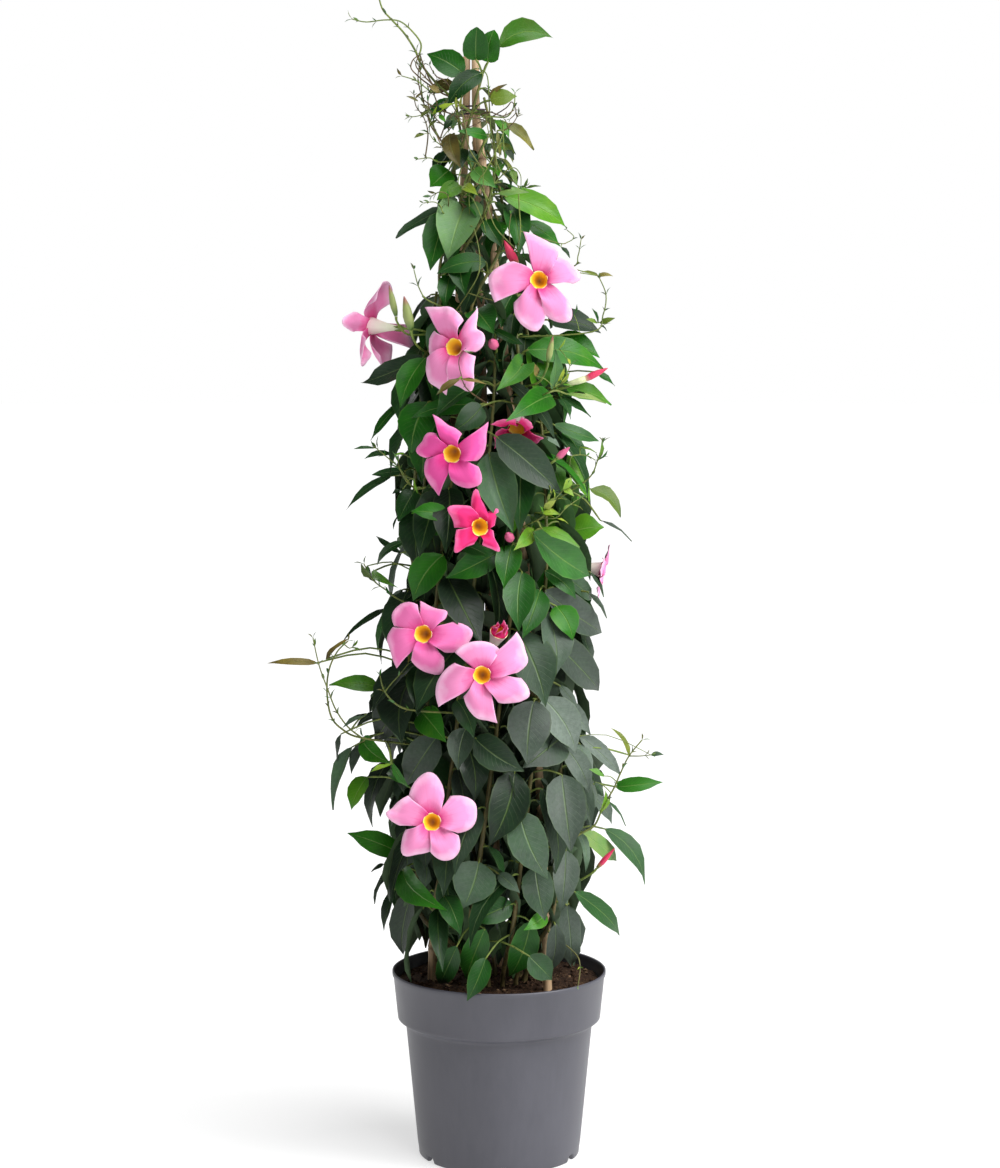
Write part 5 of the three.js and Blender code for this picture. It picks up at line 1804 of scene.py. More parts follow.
# Finer shoots that wind between the leaves near the cane heads.
SHOOTS = tuple(Spray(*row) for row in (
    (0.9, (491, 236, 62, 490.5, 203, 56, 492, 189, 54, 495, 177, 52, 496, 162, 50, 495, 147, 47, 491, 133,
        42, 490, 118, 37, 489, 99, 33, 487.5, 77, 28, 482, 70, 28, 474, 69, 30, 464, 74, 32, 454, 87, 34,
        447, 100, 34), 5, 60),
    (0.8, (479, 200, 54, 479, 183, 55, 485, 172, 56, 492, 159, 56, 498, 146, 52, 503, 133, 46, 503, 124,
        40), 5, 70),
    (0.8, (500, 122, 24, 489, 117, 40, 476, 118, 44, 463, 122, 42, 451, 128, 32, 443, 137, 18), 5, 60),
    (0.7, (452, 189, 52, 471, 197, 60, 477, 207, 62, 483, 222, 64, 486, 233, 62), 5, 60),
    (0.7, (464, 156, 40, 474, 162, 48, 482, 168, 50, 487, 173, 46), 5, 60),
    (0.9, (474, 140, 38, 482, 150, 46, 489, 161, 49, 494, 167, 46), 5, 60),
    (0.7, (451, 175, 44, 458, 182, 52, 464, 187, 54, 471, 187, 54, 478, 185, 52), 4, 60),
    (0.8, (446, 112, 30, 436, 112, 38, 427, 113, 42, 418, 116, 44, 410, 117, 42), 7, 14, 0.2),
    (0.8, (446, 170, 34, 439, 162, 42, 430, 158, 44, 419, 159, 44), 7, 13, 0.3),
    (0.7, (444, 152, 32, 438, 143, 40, 433, 139, 42, 430, 134, 42), 9, 12, 0.4),
    (0.8, (448, 226, 46, 443.5, 213, 56, 440.5, 206, 58, 434, 202, 58, 424, 203, 56), 6, 15, 0.4),
    (0.8, (499, 128, 34, 503.5, 144, 42, 505, 158, 46, 508, 167, 47, 511, 177, 47, 517, 185, 47, 523, 187,
        46), 8, 24, 0.5),
    (0.8, (497, 188, 44, 500.5, 177, 49, 507, 170, 51, 515, 168, 51, 520.5, 175, 50, 521, 185, 48), 7, 60),
    (0.8, (511, 203, 50, 519.5, 212, 58, 520.5, 224, 60, 520, 236, 63, 517, 250, 65), 6, 18, 0.5),
    (0.7, (546, 237, 50, 558, 243, 52, 568, 242, 50, 574, 237, 48, 567, 230, 48), 5, 60),
    (0.7, (455, 103, 34, 457, 113, 42, 461, 124, 44, 466, 134, 42), 6, 12, 0.2),
    (0.8, (470, 148, 30, 471, 166, 40, 470, 183, 46, 469, 199, 50, 470, 216, 52), 5, 60),
    (0.8, (413, 494, 60, 407, 482, 64, 401, 472, 64, 398, 462, 62), 10, 12, 0.2),
    (0.8, (388, 690, 92, 391, 684, 98, 400, 674, 98, 408, 664, 96), 9, 22, 0.3),
    (0.8, (345, 646, 50, 349, 648, 52, 353, 647, 52), 9, 10, 0.2),
    (0.8, (560, 470, 60, 570, 460, 62, 578, 455, 60, 588, 456, 56, 595, 460, 52), 6, 18, 0.3),
    (0.8, (534, 531, 104, 541, 518, 108, 548, 507, 106, 557, 497, 102, 566, 487, 96), 13, 11, 0.3, 0.2),
    (0.7, (540, 530, 106, 546, 515, 108, 547, 504, 106, 551, 494, 102), 10, 10, 0.4, 0.22),
    (0.7, (548, 530, 108, 556, 518, 108, 566, 508, 104, 577, 500, 96), 12, 10, 0.3, 0.22),
    (0.7, (556, 395, 100, 561, 384, 104, 567, 374, 104, 570, 366, 102), 9, 11, 0.3, 0.22),
    (1, (436, 92, 24, 428, 84, 30, 418, 76, 32, 411, 68, 30, 413, 60, 26, 419, 55, 23), 5, 30, 0.6, 0.8,
        -0.4),
    (1.1, (442, 98, 24, 434, 86, 30, 427, 74, 30, 423, 64, 26, 420, 54, 22), 6, 30, 0.7, 0.8, -0.4),
    (0.9, (440, 140, 30, 431, 126, 36, 426, 110, 36, 421, 94, 34, 418, 78, 30, 420, 62, 24), 6, 18, 0.3,
        0.8, -0.4),
    (0.9, (446, 124, 30, 440, 112, 36, 436, 100, 36, 433, 90, 34, 437, 80, 30), 6, 14, 0.3, 0.8, -0.3),
    (0.8, (452, 118, 34, 444, 110, 40, 436, 105, 40, 429, 107, 40), 7, 12, 0.2, 0.7, -0.3),
    (0.8, (494, 126, 30, 483, 120, 44, 470, 117, 46, 458, 116, 44, 447, 112, 38), 5, 60, 0.3, 0.8, -0.4),
    (0.8, (495, 110, 28, 506, 108, 36, 512, 102, 36, 516, 112, 34, 510, 119, 32), 5, 60, 0.3, 0.8, -0.4),
    (0.7, (458, 136, 40, 468, 128, 46, 480, 122, 46, 490, 112, 42), 5, 60, 0.3, 0.8, -0.4),
    (0.8, (478, 172, 52, 470, 150, 54, 466, 130, 50, 462, 112, 44, 456, 98, 38), 5, 60, 0.3, 0.5, 0.1),
    (0.7, (506, 190, 50, 500, 170, 54, 494, 150, 54, 489, 134, 50, 486, 118, 46), 5, 60, 0.3, 0.5, 0.1),
    (0.7, (500, 250, 68, 496, 228, 68, 488, 206, 66, 484, 190, 62, 483, 172, 60), 5, 60, 0.3, 0.4, 0.3),
    (0.8, (472, 300, 84, 476, 280, 80, 480, 262, 76, 478, 244, 72, 474, 228, 68), 5, 60, 0.3, 0.4, 0.3),
    (0.7, (492, 318, 86, 497, 300, 84, 499, 282, 80, 497, 262, 76), 5, 60, 0.3, 0.4, 0.2),
    (0.8, (516, 270, 62, 512, 250, 64, 509, 232, 64, 511, 214, 60), 6, 24, 0.4, 0.4, -0.1),
    (0.9, (562, 944, 62, 574, 952, 84, 580, 966, 96, 578, 986, 100), 4, 60, 0.3, 0.2, 0.3),
    (0.8, (474, 404, 96, 468, 390, 112, 461, 374, 117, 459, 360, 117, 464, 350, 114), 4, 60, 0.3, 0.6,
        -0.3),
    (1, (448, 100, 26, 440, 92, 34, 430, 82, 36, 424, 76, 34, 416, 66, 30, 418, 57, 24), 5, 20, 0.5, 0.8,
        -0.4),
    (0.8, (452, 132, 32, 442, 124, 42, 434, 116, 44, 428, 104, 42, 430, 94, 38), 7, 13, 0.2, 0.7, -0.4),
    (0.8, (450, 158, 34, 443, 148, 42, 437, 136, 44, 433, 122, 42), 8, 14, 0.3, 0.6, -0.3),
    (0.8, (456, 206, 50, 448, 196, 56, 440, 192, 56, 432, 196, 54), 8, 13, 0.3, 0.5, 0),
    (0.8, (500, 130, 34, 508, 128, 42, 514, 122, 42, 518, 115, 40), 6, 20, 0.5, 0.8, -0.4),
    (1, (470, 128, 34, 458, 118, 40, 446, 112, 42, 434, 108, 40, 424, 100, 36), 6, 18, 0.5, 0.8, -0.4),
    (0.9, (462, 98, 30, 452, 90, 36, 444, 80, 38, 436, 76, 36, 430, 66, 32), 6, 16, 0.4, 0.8, -0.4),
    (0.9, (476, 118, 30, 490, 112, 40, 503, 116, 42, 514, 110, 38), 5, 24, 0.5, 0.8, -0.4),
    (0.8, (440, 140, 36, 446, 124, 44, 456, 110, 46, 462, 96, 44, 458, 84, 40), 6, 18, 0.4, 0.7, -0.3),
    (0.8, (424, 150, 36, 428, 134, 42, 424, 118, 44, 416, 106, 40, 414, 94, 36), 6, 16, 0.4, 0.7, -0.3),
))


@dataclass(frozen=True)
class YoungLeaf:
    """A slim young leaf in front: the places of its base and tip, how far ahead it is, its width and look."""

    column: float
    row: float
    tip_column: float
    tip_row: float
    out: float
    width: float
    age: float
    dust: float = 0.0
    bronze: float = 0.0
    grown: float = 12

    def grow(self, climber: Climber) -> None:
        """Grows the leaf from the nearest stem.

        Args:
            climber: the climber that carries it.
        """
        base = SIGHT.place(self.column, self.row, self.out)
        tip = SIGHT.place(self.tip_column, self.tip_row, self.out + 4)
        number, root = climber.host(base)
        up = Vector((base.x - APEX.lean_at(base.z), -0.12, 0.06)).normalized()
        seat = LeafSeat(base, tip, up, self.width * 0.00108, root)
        form = LeafForm.OVAL if self.width > self.grown else LeafForm.SLIP
        traits = Traits(self.age, self.dust, self.bronze, 0.35, 0.08, form=form)
        climber.add_leaf(climber.shape_of(number), seat, traits)


YOUNG_LEAVES = tuple(YoungLeaf(*row) for row in (
    (432, 114, 455, 103, 44, 7, 0.1), (440, 92, 428, 86, 40, 7, 1, 0, 0.6),
    (446, 104, 436, 112, 44, 8, 0.9), (430, 110, 420, 118, 44, 5, 0.6, 0, 0.5),
    (452, 120, 444, 130, 48, 8, 0.9), (424, 134, 414, 138, 44, 5, 0.5, 0, 0.4),
    (470, 150, 478, 164, 46, 9, 0.8), (506, 150, 514, 160, 46, 8, 0.9), (439, 115, 446, 122, 46, 5, 0.3),
    (457, 111, 456, 94, 44, 3, 0.1, 0, 0.4), (460, 109, 462, 95, 44, 3, 0.1, 0, 0.5),
    (489, 95, 507, 84, 34, 5, 0.6, 0, 0.9), (497, 131, 500, 157, 44, 5, 0.5, 0, 0.6),
    (486, 143, 488, 151, 46, 3, 0.8), (511, 169, 517, 185, 49, 8, 0.4, 0, 0.25),
    (498, 194, 529, 192, 62, 9, 0.2, 0.5), (561, 247, 570, 258, 56, 6, 0.8),
    (524, 187, 528, 178, 46, 3, 0.5, 0, 0.3), (526, 188, 541, 186, 46, 3, 0.5, 0, 0.3),
    (574, 315, 577, 304, 60, 3, 0.7), (598, 323, 592, 308, 48, 5, 0.7),
    (600, 323, 615, 318, 48, 6, 0.3, 0, 0.4), (597, 323, 586, 319, 50, 5, 0.2, 0, 0.3),
    (600, 325, 607, 331, 50, 3, 0.8), (566, 394, 606, 403, 66, 7, 0.12, 0.5),
    (559, 349, 566, 338, 90, 2, 0.1), (546, 437, 560, 447, 88, 7, 0.6, 0.8),
    (580, 447, 597, 453, 58, 3, 0.3, 0, 0.3), (598, 460, 602, 440, 52, 6, 0.3, 0, 0.3),
    (600, 459, 608, 450, 52, 3, 0.6), (374, 448, 353, 449, 58, 4, 0.7), (378, 448, 378, 436, 58, 2, 0.7),
    (376, 446, 371, 441, 58, 3, 0.6), (404, 453, 394, 456, 66, 3, 0.2), (414, 479, 418, 494, 70, 3, 0.15),
    (403, 489, 392, 494, 64, 6, 0.9), (398, 516, 393, 530, 62, 3, 0.9),
    (371, 578, 361, 564, 58, 9, 0.6, 0, 0.3), (386, 587, 391, 596, 60, 3, 0.6),
    (367, 714, 342, 728, 72, 7, 0.7, 0.5), (361, 728, 363, 737, 72, 3, 0.6, 0.3),
    (391, 764, 370, 772, 98, 6, 0.15), (604, 776, 589, 769, 66, 7, 0.25, 0.3),
    (594, 782, 604, 797, 60, 7, 0.8, 0.3), (607, 800, 626, 826, 56, 4, 0.7, 0.3),
    (600, 812, 606, 790, 60, 6, 0.15), (601, 812, 611, 795, 60, 4, 0.15), (558, 382, 565, 366, 84, 4, 0.08),
    (561, 384, 570, 372, 84, 4, 0.08), (541, 528, 580, 547, 100, 12, 0.2, 0.1),
    (541, 512, 560, 514, 108, 8, 0.1), (544, 509, 556, 500, 108, 7, 0, 0.4),
    (563, 489, 574, 496, 98, 8, 0.12, 0.2), (571, 478, 563, 490, 98, 8, 0.15, 0.2),
    (392, 763, 409, 788, 84, 9, 0.42, 0.1), (600, 520, 632, 541, 30, 4, 0.9, 0.4),
    (588, 592, 607, 618, 34, 7, 0.9, 0.3), (590, 572, 604, 597, 40, 7, 0.85, 0.2),
    (418, 101, 406, 96, 38, 3, 0.7, 0, 0.5), (424, 92, 414, 100, 36, 3, 0.8, 0, 0.6),
    (430, 110, 420, 104, 42, 4, 0.7, 0, 0.6), (437, 120, 428, 128, 42, 4, 0.6, 0, 0.5),
    (459, 379, 436, 395, 118, 8, 1, 0, 0.5), (461, 379, 487, 384, 116, 4, 0.9, 0, 0.9),
    (536, 376, 535, 364, 104, 7, 0.5, 0, 0.9), (448, 515, 411, 511, 106, 18, 0.48),
    (437, 828, 424, 838, 96, 4, 0.3, 0, 0.5), (437, 828, 428, 842, 98, 4, 0.3, 0, 0.4),
))


# ---- flowers and buds


class Pink(Enum):
    """The pinks of the petals: by the throat, over the lobe, and at its rim."""

    LIGHT = ("da4587", "ec8fc0", "f5c0de")
    MIDDLE = ("da4088", "ea76b2", "f3a9d0")
    HOT = ("d2327f", "e554a0", "f08fc2")
    DEEP = ("b4083f", "dd2f72", "ee78aa")

    def skin(self) -> Material:
        """Returns the petal material of this pink."""
        return made_once(PetalSkin("petal_" + self.name.lower(), *self.value))


Edge = tuple[float, ...]


@dataclass
class Flower:
    """One bloom: a funnel with a yellow throat and five overlapping lobes.

    Each lobe is given by its outer edge: in turn a bearing in degrees and a distance in millimetres.
    """

    number: int
    at: tuple[float, float]
    out: float
    turn: float
    tilt: float
    pink: Pink
    slot: str
    lobes: tuple[Edge, ...]
    opening: float = 1.0
    leans: tuple[float, ...] = (0, 0, 0, 0, 0)

    TUBE = 0.040
    SOCKET = 0.0005
    CALYX = 0.003
    THROAT = 0.0090
    FURLING = 62
    NARROWEST = 47.0
    SEPAL = Blade(((0, 0.7), (0.3, 1.0), (0.65, 0.7), (1, 0.04)), across=2, thickness=0.0006)
    SEPALS = 5
    ACROSS = 16
    ROWS = 10
    FUNNEL = (
        (0, -0.04), (0.0026, -0.04), (0.0031, -0.03), (0.0046, -0.021), (0.0068, -0.012), (0.0088, -0.005),
        (0.0098, -0.0012), (0.0099, 0.0001), (0.0094, 0.0003), (0.0087, -0.001), (0.0077, -0.0028),
        (0.0064, -0.0052), (0.0048, -0.0076), (0.0026, -0.0096), (0, -0.0102),
    )
    LIP = 7

    def axis(self) -> Vector:
        """Returns the way that the flower faces."""
        turn, tilt = radians(self.turn), radians(self.tilt)
        return Vector((sin(turn) * cos(tilt), -cos(turn) * cos(tilt), sin(tilt)))

    def mouth(self) -> Vector:
        """Returns the middle of the flower's mouth."""
        return SIGHT.place(*self.at, self.out)

    def foot(self) -> Vector:
        """Returns the place where the stalk ends."""
        return self.mouth() - self.axis() * (self.TUBE + self.SOCKET)

    def world(self, point: Vector) -> Vector:
        """Carries a point of the upright flower to its place.

        Args:
            point: the point, with the mouth at the origin and the flower facing +Z.

        Returns:
            The point in the world.
        """
        axis = self.axis()
        right = Vector((0, 0, 1)).cross(axis).normalized()
        return self.mouth() + right * point.x + axis.cross(right) * point.y + axis * point.z

    def closed(self, radius: float, lift: float) -> tuple[float, float]:
        """Turns a place of the open lobe towards the axis, as far as the flower is closed.

        Args:
            radius: distance of the place from the axis.
            lift: its height over the mouth.

        Returns:
            The radius and lift of the turned place.
        """
        closing = radians(self.FURLING * (1 - self.opening))
        beyond = radius - self.THROAT
        flat = self.THROAT + beyond * cos(closing) - lift * sin(closing)
        return flat, beyond * sin(closing) + lift * cos(closing)

    def add_lobe(self, shape: BMesh, edge: Edge, lean: float, dice: Random) -> None:
        """Adds one lobe to the flower.

        Args:
            shape: the mesh of the flower.
            edge: its outer edge.
            lean: how far its rim stands forward, in millimetres.
            dice: the stream of draws.
        """
        bearings, reaches = edge[::2], edge[1::2]
        ends = [Vector((bearing, reach, 0)) for bearing, reach in zip(bearings, reaches)]
        outline = smooth_route(ends, self.ACROSS // (len(ends) - 1))
        centre = (bearings[0] + bearings[-1]) / 2
        breadth = max(abs(bearings[-1] - bearings[0]) / 2, self.NARROWEST)
        largest = max(reaches) / 1000
        crown = dice.uniform(0.05, 0.09) * largest
        droop = dice.uniform(0.06, 0.16) * largest
        crimp = dice.uniform(0.010, 0.022) * largest
        phase = dice.uniform(0, 6)
        grid = {"x_segments": self.ACROSS, "y_segments": self.ROWS, "size": 1.0, "calc_uvs": True}
        verts = bmesh.ops.create_grid(shape, **grid)["verts"]
        for vert in verts:
            side, share = vert.co.x, (vert.co.y + 1) / 2
            bearing, reach, _ = outline[round((side + 1) / 2 * self.ACROSS)]
            spread = 1 - (1 - share) ** 2.2
            aim = radians(between(centre + side * breadth, bearing, spread))
            radius = between(self.THROAT, reach / 1000, share)
            lift = crown * sin(pi * min(share * 1.15, 1.0)) - droop * share**3 - 0.0004
            lift -= side * (0.0011 + 0.035 * largest * sin(pi * share**0.8))
            lift += 0.04 * largest * (abs(side) - 0.5) * share * (1 - share)
            lift += crimp * sin(7 * share + 4.5 * side + phase) * share**2 + lean / 1000 * share**1.6
            lift += 0.5 * crimp * sin(12 * side + 2 * phase) * share**4
            flat, high = self.closed(radius, lift)
            vert.co = self.world(Vector((flat * cos(aim), flat * sin(aim), high)))
        faces = faces_of(verts)
        for face in faces:
            face.normal_update()
            face.smooth = True
        if sum((face.normal for face in faces), Vector()).dot(self.axis()) < 0:
            bmesh.ops.reverse_faces(shape, faces=faces)
        bmesh.ops.solidify(shape, geom=faces, thickness=0.0006)

    def add_sepals(self, shape: BMesh) -> None:
        """Adds the sepals that hold the tube.

        Args:
            shape: the mesh of the flower.
        """
        low, length, half = -self.TUBE - 0.001, 0.010, 0.0019
        for k in range(self.SEPALS):
            angle = 2 * pi * k / self.SEPALS + 0.4
            outward = heading(angle)
            aside = Vector((-outward.y, outward.x, 0))

            def place(side: float, share: float, width: float) -> Vector:
                """Places a point of the sepal.

                Args:
                    side: its place across.
                    share: its share of the length.
                    width: the share of the width there.

                Returns:
                    The point.
                """
                radius = 0.0030 + 0.0016 * share - 0.0004 * side * side
                rise = Vector((0, 0, low + length * share))
                return self.world(outward * radius + aside * (-side * half * width) + rise)

            self.SEPAL.add(shape, place, 2, 2)

    def add_funnel(self, shape: BMesh, dice: Random) -> None:
        """Adds the tube and throat, and marks how far along them each place is.

        Args:
            shape: the mesh of the flower.
            dice: the stream of draws.
        """
        last = len(self.FUNNEL) - 1
        funnel = add_lathe(shape, self.FUNNEL, 30, 1)
        lopsided = heading(dice.uniform(-0.8, 0.8)) * 0.0028
        for vert in funnel:
            spot = (hypot(vert.co.x, vert.co.y), vert.co.z)
            row = min(range(last + 1), key=lambda k, at=spot: dist(self.FUNNEL[k], at))
            outer, inner = 1 - 0.5 * row / self.LIP, 0.5 * (last - row) / (last - self.LIP)
            mark(shape, [vert], course=outer if row <= self.LIP else inner)
            deep = max(0, row - self.LIP - 1) / (last - self.LIP)
            vert.co = self.world(vert.co + lopsided * deep)

    def build(self) -> Object:
        """Returns the finished flower."""
        dice = Random(100 + self.number)
        shape = blank("course", "tender")
        self.add_funnel(shape, dice)
        for edge, lean in zip(self.lobes, self.leans):
            self.add_lobe(shape, edge, lean, dice)
        self.add_sepals(shape)
        mark(shape, shape.verts, tender=0.9)
        finishes = [self.pink.skin(), made_once(ThroatSkin()), made_once(StemBark())]
        return finish_piece(shape, f"flower_{self.number}", finishes, self.slot, [f"bloom_{self.number}"])


def pinwheel(reach: float, spin: float, point: float = 0.8) -> tuple[Edge, ...]:
    """Lays out five even lobes, each pointed at the side that it turns to.

    Args:
        reach: distance of the points from the middle, in millimetres.
        spin: bearing of the first point, in degrees.
        point: how far the round shoulder reaches, as a share.

    Returns:
        The outer edges of the lobes.
    """
    rows = ((-58, 0.66), (-42, 0.86), (-26, 1.0), (-12, 1.06), (0, 1 / point))
    lobes = []
    for k in range(5):
        pairs = [(spin + 72 * k + turn, reach * point * share) for turn, share in rows]
        lobes.append(tuple(value for pair in pairs for value in pair))
    return tuple(lobes)


FLOWERS = (
    Flower(1, (539, 280), 92, 10, 10, Pink.LIGHT, "bloom", (
        (47, 32, 54, 40, 66, 44, 86, 49, 104, 56), (-5, 38, 4, 47, 20, 43, 36, 39, 48, 35),
        (-85, 33, -70, 46, -56, 54, -46, 52, -31, 38), (221, 36, 235, 46, 250, 52, 268, 54, 281, 37),
        (140, 33, 156, 42, 174, 53, 190, 53, 206, 53),
    )),
    Flower(2, (454, 347), 104, -26, 6, Pink.LIGHT, "bloom", (
        (74, 30, 90, 38, 104, 45, 120, 50, 133, 59), (-12, 24, 8, 33, 26, 35, 44, 31, 63, 48),
        (-102, 38, -84, 42, -66, 50, -46, 31, -22, 24), (198, 36, 215, 43, 231, 48, 245, 48, 259, 52),
        (146, 32, 160, 33, 172, 33, 184, 33, 196, 32),
    )),
    Flower(3, (371, 326), 6, -118, 4, Pink.LIGHT, "bloom", (
        (62, 32, 78, 42, 94, 50, 108, 48, 124, 32), (-20, 20, -8, 30, 6, 46, 22, 34, 40, 22),
        (-84, 30, -72, 40, -60, 50, -46, 36, -30, 26), (-140, 30, -124, 42, -106, 48, -94, 44, -84, 32),
        (-190, 24, -180, 34, -166, 44, -152, 46, -138, 28),
    ), leans=(-6, 16, 2, -8, -26)),
    Flower(4, (452, 454), 122, -12, -6, Pink.HOT, "bloom_deep", (
        (64, 23, 84, 27, 100, 31, 110, 39, 118, 47), (-18, 27, 0, 33, 18, 38, 30, 42, 41, 51),
        (-97, 28, -76, 37, -60, 42, -45, 43, -27, 31), (191, 30, 208, 37, 225, 42, 240, 46, 250, 50),
        (130, 28, 142, 35, 160, 36, 178, 41, 190, 31),
    )),
    Flower(5, (480, 527), 122, 24, 4, Pink.DEEP, "bloom_deep", (
        (56, 18, 70, 23, 83, 29, 95, 40, 110, 24), (2, 17, 22, 20, 41, 28, 52, 21, 60, 18),
        (-84, 19, -66, 25, -51, 34, -36, 21, -14, 16), (184, 27, 205, 33, 221, 40, 233, 25, 252, 18),
        (111, 23, 130, 30, 150, 42, 163, 31, 180, 26),
    ), 0.8),
    Flower(6, (423, 634), 124, -8, 8, Pink.MIDDLE, "bloom", (
        (102, 32, 116, 38, 132, 41, 150, 40, 166, 33), (35, 28, 45, 35, 62, 31, 80, 31, 98, 36),
        (-40, 30, -22, 44, -8, 50, 6, 52, 24, 34), (244, 31, 262, 37, 278, 42, 296, 46, 312, 33),
        (168, 34, 186, 40, 205, 40, 219, 43, 232, 47),
    )),
    Flower(7, (482, 675), 146, 6, 2, Pink.LIGHT, "bloom", (
        (52, 33, 75, 35, 98, 36, 120, 37, 140, 37), (2, 38, 14, 51, 26, 53, 38, 56, 50, 59),
        (-60, 35, -44, 45, -33, 53, -22, 56, -6, 43), (230, 30, 248, 39, 264, 47, 278, 50, 288, 55),
        (156, 31, 174, 40, 190, 48, 203, 53, 217, 57),
    )),
    Flower(8, (499, 632), 116, 24, 46, Pink.DEEP, "bloom_deep", pinwheel(22, 60), -0.95),
    Flower(9, (432, 822), 138, 8, 6, Pink.LIGHT, "bloom", (
        (60, 29, 76, 44, 90, 53, 106, 49, 132, 36), (-25, 31, -9, 45, 8, 50, 26, 50, 52, 34),
        (-94, 32, -76, 43, -60, 46, -45, 43, -28, 33), (196, 29, 212, 38, 229, 47, 247, 38, 268, 32),
        (131, 38, 147, 42, 160, 45, 170, 50, 186, 34),
    )),
    Flower(10, (517, 429), 86, -12, -42, Pink.DEEP, "bloom_deep", pinwheel(34, 70), 0.3),
    Flower(11, (601, 571), 2, 84, -12, Pink.LIGHT, "bloom", pinwheel(36, 40), 0.7),
)


class BudTint(Enum):
    """The colours of the buds: base, flush and tip."""

    RED = ("7f8a45", "d8385f", "c42a50")
    CREAM = ("ccd4a4", "dc3c63", "c42a50")
    ROSE = ("6f8a45", "cf5f88", "b8567c")
    GREEN = ("5d7a3a", "93a060", "9a5058")

    def skin(self) -> Material:
        """Returns the bud material of this colour."""
        return made_once(BudSkin("bud_skin_" + self.name.lower(), *self.value))


@dataclass
class Bud:
    """A furled bud: a spindle with the ridges of its twisted petals."""

    number: int
    base: tuple[float, float]
    tip: tuple[float, float]
    out: tuple[float, float]
    radius: float
    tint: BudTint = BudTint.ROSE
    tube: tuple[float, float] | None = None

    SOCKET = 0.0005
    STALK_SHARE = 0.55
    SIDES = 20
    TWIST = 2.2
    RIDGES = 5
    SHAPE = (
        (0, 0), (0.5, 0), (0.78, 0.12), (0.97, 0.28), (1, 0.42), (0.86, 0.6), (0.6, 0.76), (0.32, 0.9),
        (0.1, 0.985), (0, 1),
    )

    def ends(self) -> tuple[Vector, Vector]:
        """Returns the base and the tip."""
        return SIGHT.place(*self.base, self.out[0]), SIGHT.place(*self.tip, self.out[1])

    def foot(self) -> Vector:
        """Returns the place where the stalk ends."""
        base, tip = self.ends()
        return base - (tip - base).normalized() * self.SOCKET

    def build(self) -> Object:
        """Returns the finished bud."""
        base, tip = self.ends()
        length = (tip - base).length
        turn = Vector((0, 0, 1)).rotation_difference(tip - base)
        shape = blank("course", chart=False)
        profile = [(r * self.radius / 1000, z * length) for r, z in self.SHAPE]
        for vert in add_lathe(shape, profile, self.SIDES):
            share = vert.co.z / length
            angle = atan2(vert.co.y, vert.co.x) + self.TWIST * share
            ridge = 1 + 0.07 * sin(self.RIDGES * angle)
            mark(shape, [vert], course=share)
            vert.co = base + turn @ Vector((vert.co.x * ridge, vert.co.y * ridge, vert.co.z))
        if self.tube:
            start = SIGHT.place(*self.tube, self.out[0])
            route = [start.lerp(base, share / 3) for share in range(3)] + [base.lerp(tip, 0.1)]
            add_tube(shape, route, [self.radius / 1000 * share for share in (0.5, 0.72, 0.9, 0.94)], 12)
        name, node = f"flower_bud_{self.number}", f"bud_{self.number}"
        return finish_piece(shape, name, [self.tint.skin()], "bloom_deep", [node])


BUDS = (
    Bud(1, (517, 266), (504, 240), (62, 66), 5, BudTint.RED),
    Bud(2, (396, 316), (389, 285), (46, 48), 3.6, BudTint.GREEN),
    Bud(3, (411, 330), (404, 296), (58, 60), 5.4, BudTint.GREEN),
    Bud(4, (495, 347), (491, 340), (84, 104), 5.5),
    Bud(5, (583, 380), (608, 368), (44, 44), 3.8, BudTint.CREAM, (567, 384)),
    Bud(6, (548, 362), (553, 336), (92, 96), 3.4, BudTint.GREEN),
    Bud(7, (511, 540), (507, 533), (94, 116), 5), Bud(8, (556, 459), (570, 447), (96, 98), 3.6),
    Bud(9, (597, 868), (615, 848), (28, 30), 3, BudTint.RED),
)


# ---- studio


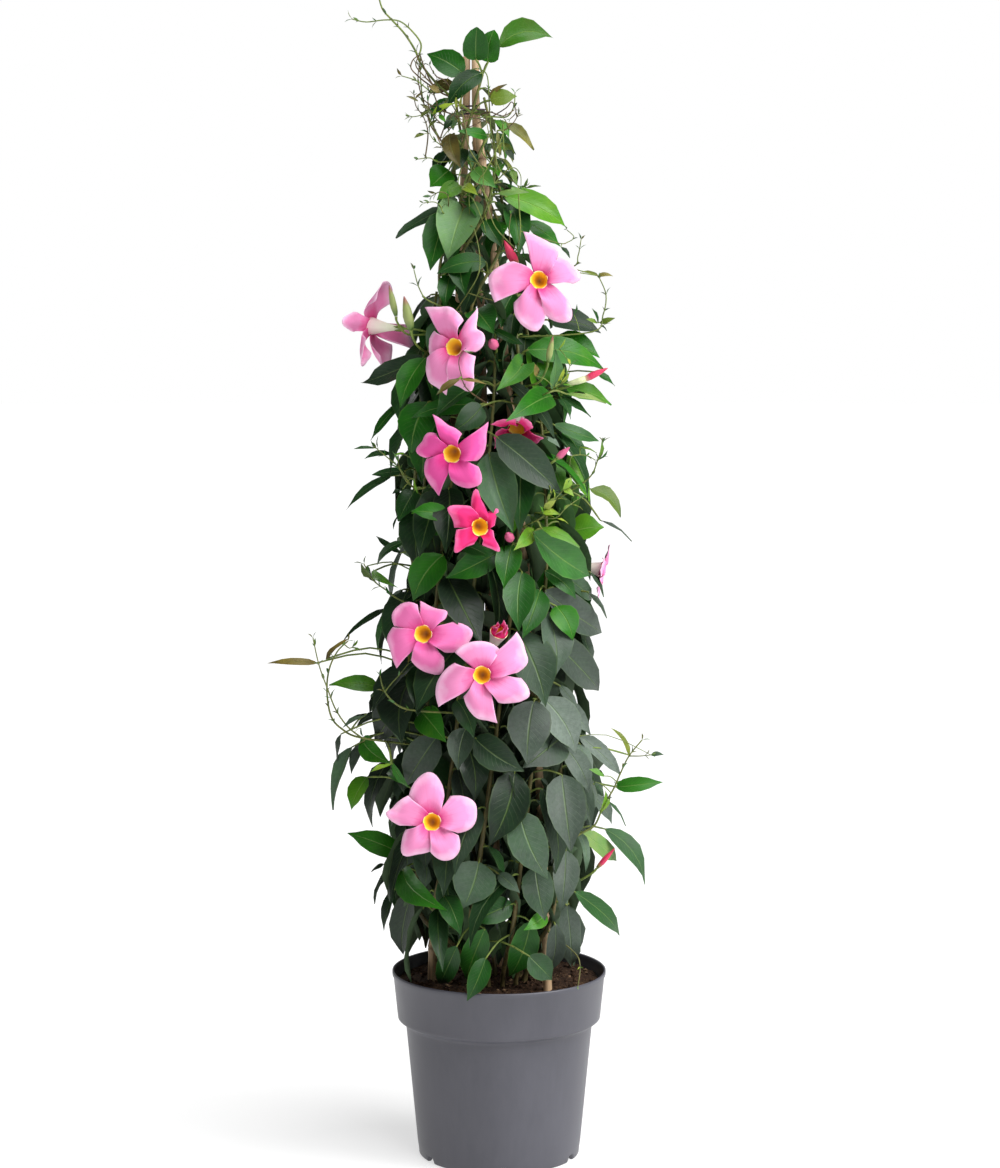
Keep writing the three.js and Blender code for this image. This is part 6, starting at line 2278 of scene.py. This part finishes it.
@dataclass
class Studio:
    """Pale floor, soft lights and the camera."""

    floor_radius: float = 30.0
    backdrop: float = 1.0
    room_light: float = 0.13
    lit_height: float = 0.6

    def add_camera(self) -> None:
        """Sets the camera at the sighting point."""
        data = bpy.data.cameras.new("camera")
        data.sensor_width = 36.0
        data.lens = data.sensor_width * SIGHT.focal / SIGHT.rows
        data.clip_end = 200.0
        camera = bpy.data.objects.new("camera", data)
        off = (SIGHT.columns / 2 - SIGHT.axis_column) * SIGHT.distance / SIGHT.focal
        camera.location = (off, -SIGHT.distance, SIGHT.eye_height)
        camera.rotation_euler = (pi / 2 - SIGHT.down, 0, 0)
        bpy.context.scene.collection.objects.link(camera)
        bpy.context.scene.camera = camera

    def add_lamp(self, name: str, kind: str, place: Point, power: float, **settings: float) -> None:
        """Adds a soft light that is turned to the middle of the plant.

        Args:
            name: name of the light.
            kind: AREA for a softbox, or SUN for a far light.
            place: where it stands.
            power: its power.
            settings: size of a softbox, or angle of a sun.
        """
        data = bpy.data.lights.new(name, kind)
        data.energy = power
        for setting, value in settings.items():
            setattr(data, setting, value)
        lamp = bpy.data.objects.new(name, data)
        lamp.location = place
        aim = Vector((0, 0, self.lit_height)) - Vector(place)
        lamp.rotation_euler = aim.to_track_quat("-Z", "Y").to_euler()
        bpy.context.scene.collection.objects.link(lamp)

    def add_floor(self) -> None:
        """Lays the floor."""
        shape = bmesh.new()
        bmesh.ops.create_circle(shape, cap_ends=True, segments=96, radius=self.floor_radius)
        mesh = bpy.data.meshes.new("studio_floor")
        shape.to_mesh(mesh)
        shape.free()
        mesh.materials.append(StudioPaper().make())
        floor = bpy.data.objects.new("studio_floor", mesh)
        bpy.context.scene.collection.objects.link(floor)

    def add_room(self) -> None:
        """Puts a white backdrop all round, in a dimly lit room."""
        world = bpy.data.worlds.new("studio_room")
        world.use_nodes = True
        tree = world.node_tree
        fade = tree.nodes.new("ShaderNodeMapRange")
        fade.inputs["To Min"].default_value = self.room_light
        fade.inputs["To Max"].default_value = self.backdrop
        tree.links.new(tree.nodes.new("ShaderNodeLightPath").outputs["Is Camera Ray"], fade.inputs["Value"])
        background = tree.nodes["Background"]
        background.inputs["Color"].default_value = (1, 1, 1, 1)
        tree.links.new(fade.outputs["Result"], background.inputs["Strength"])
        bpy.context.scene.world = world
        bpy.context.scene.view_settings.view_transform = "Standard"

    def build(self) -> None:
        """Sets up the whole studio."""
        self.add_camera()
        self.add_floor()
        self.add_room()
        self.add_lamp("high_light", "SUN", (1.5, -1.1, 3.6), 3.45, angle=radians(56))
        self.add_lamp("key_light", "AREA", (2.8, -1.3, 1.9), 57, size=1.3)
        self.add_lamp("front_light", "AREA", (1.3, -3.1, 2.2), 12, size=1.0)
        self.add_lamp("fill_light", "AREA", (-2.6, -1.8, 1.0), 1, size=1.6)
        self.add_lamp("back_light", "AREA", (-0.8, 2.8, 2.4), 20, size=1.8)


def main() -> None:
    """Builds the plant from the pot up."""
    logging.basicConfig(level=logging.INFO, format="%(message)s")
    Studio().build()
    pot = NurseryPot()
    pot.build()
    PottingSoil(pot).build()
    BambooPyramid().build()
    WireTie().build()
    climber = Climber()
    climber.make_stems()
    vines, seats = climber.build_packed()
    for growth in (*SPRAYS, *SHOOTS, *YOUNG_LEAVES):
        growth.grow(climber)
    for flower in FLOWERS:
        climber.add_stalk(vines, flower.foot(), Flower.CALYX)
        flower.build()
    for bud in BUDS:
        climber.add_stalk(vines, bud.foot(), bud.radius / 1000 * Bud.STALK_SHARE)
        bud.build()
    log.info("packed leaves: %d", len(seats))
    log.info("inner leaves: %d", climber.grow_inner(seats, [flower.mouth() for flower in FLOWERS]))
    climber.build()


if __name__ == "__main__":
    main()
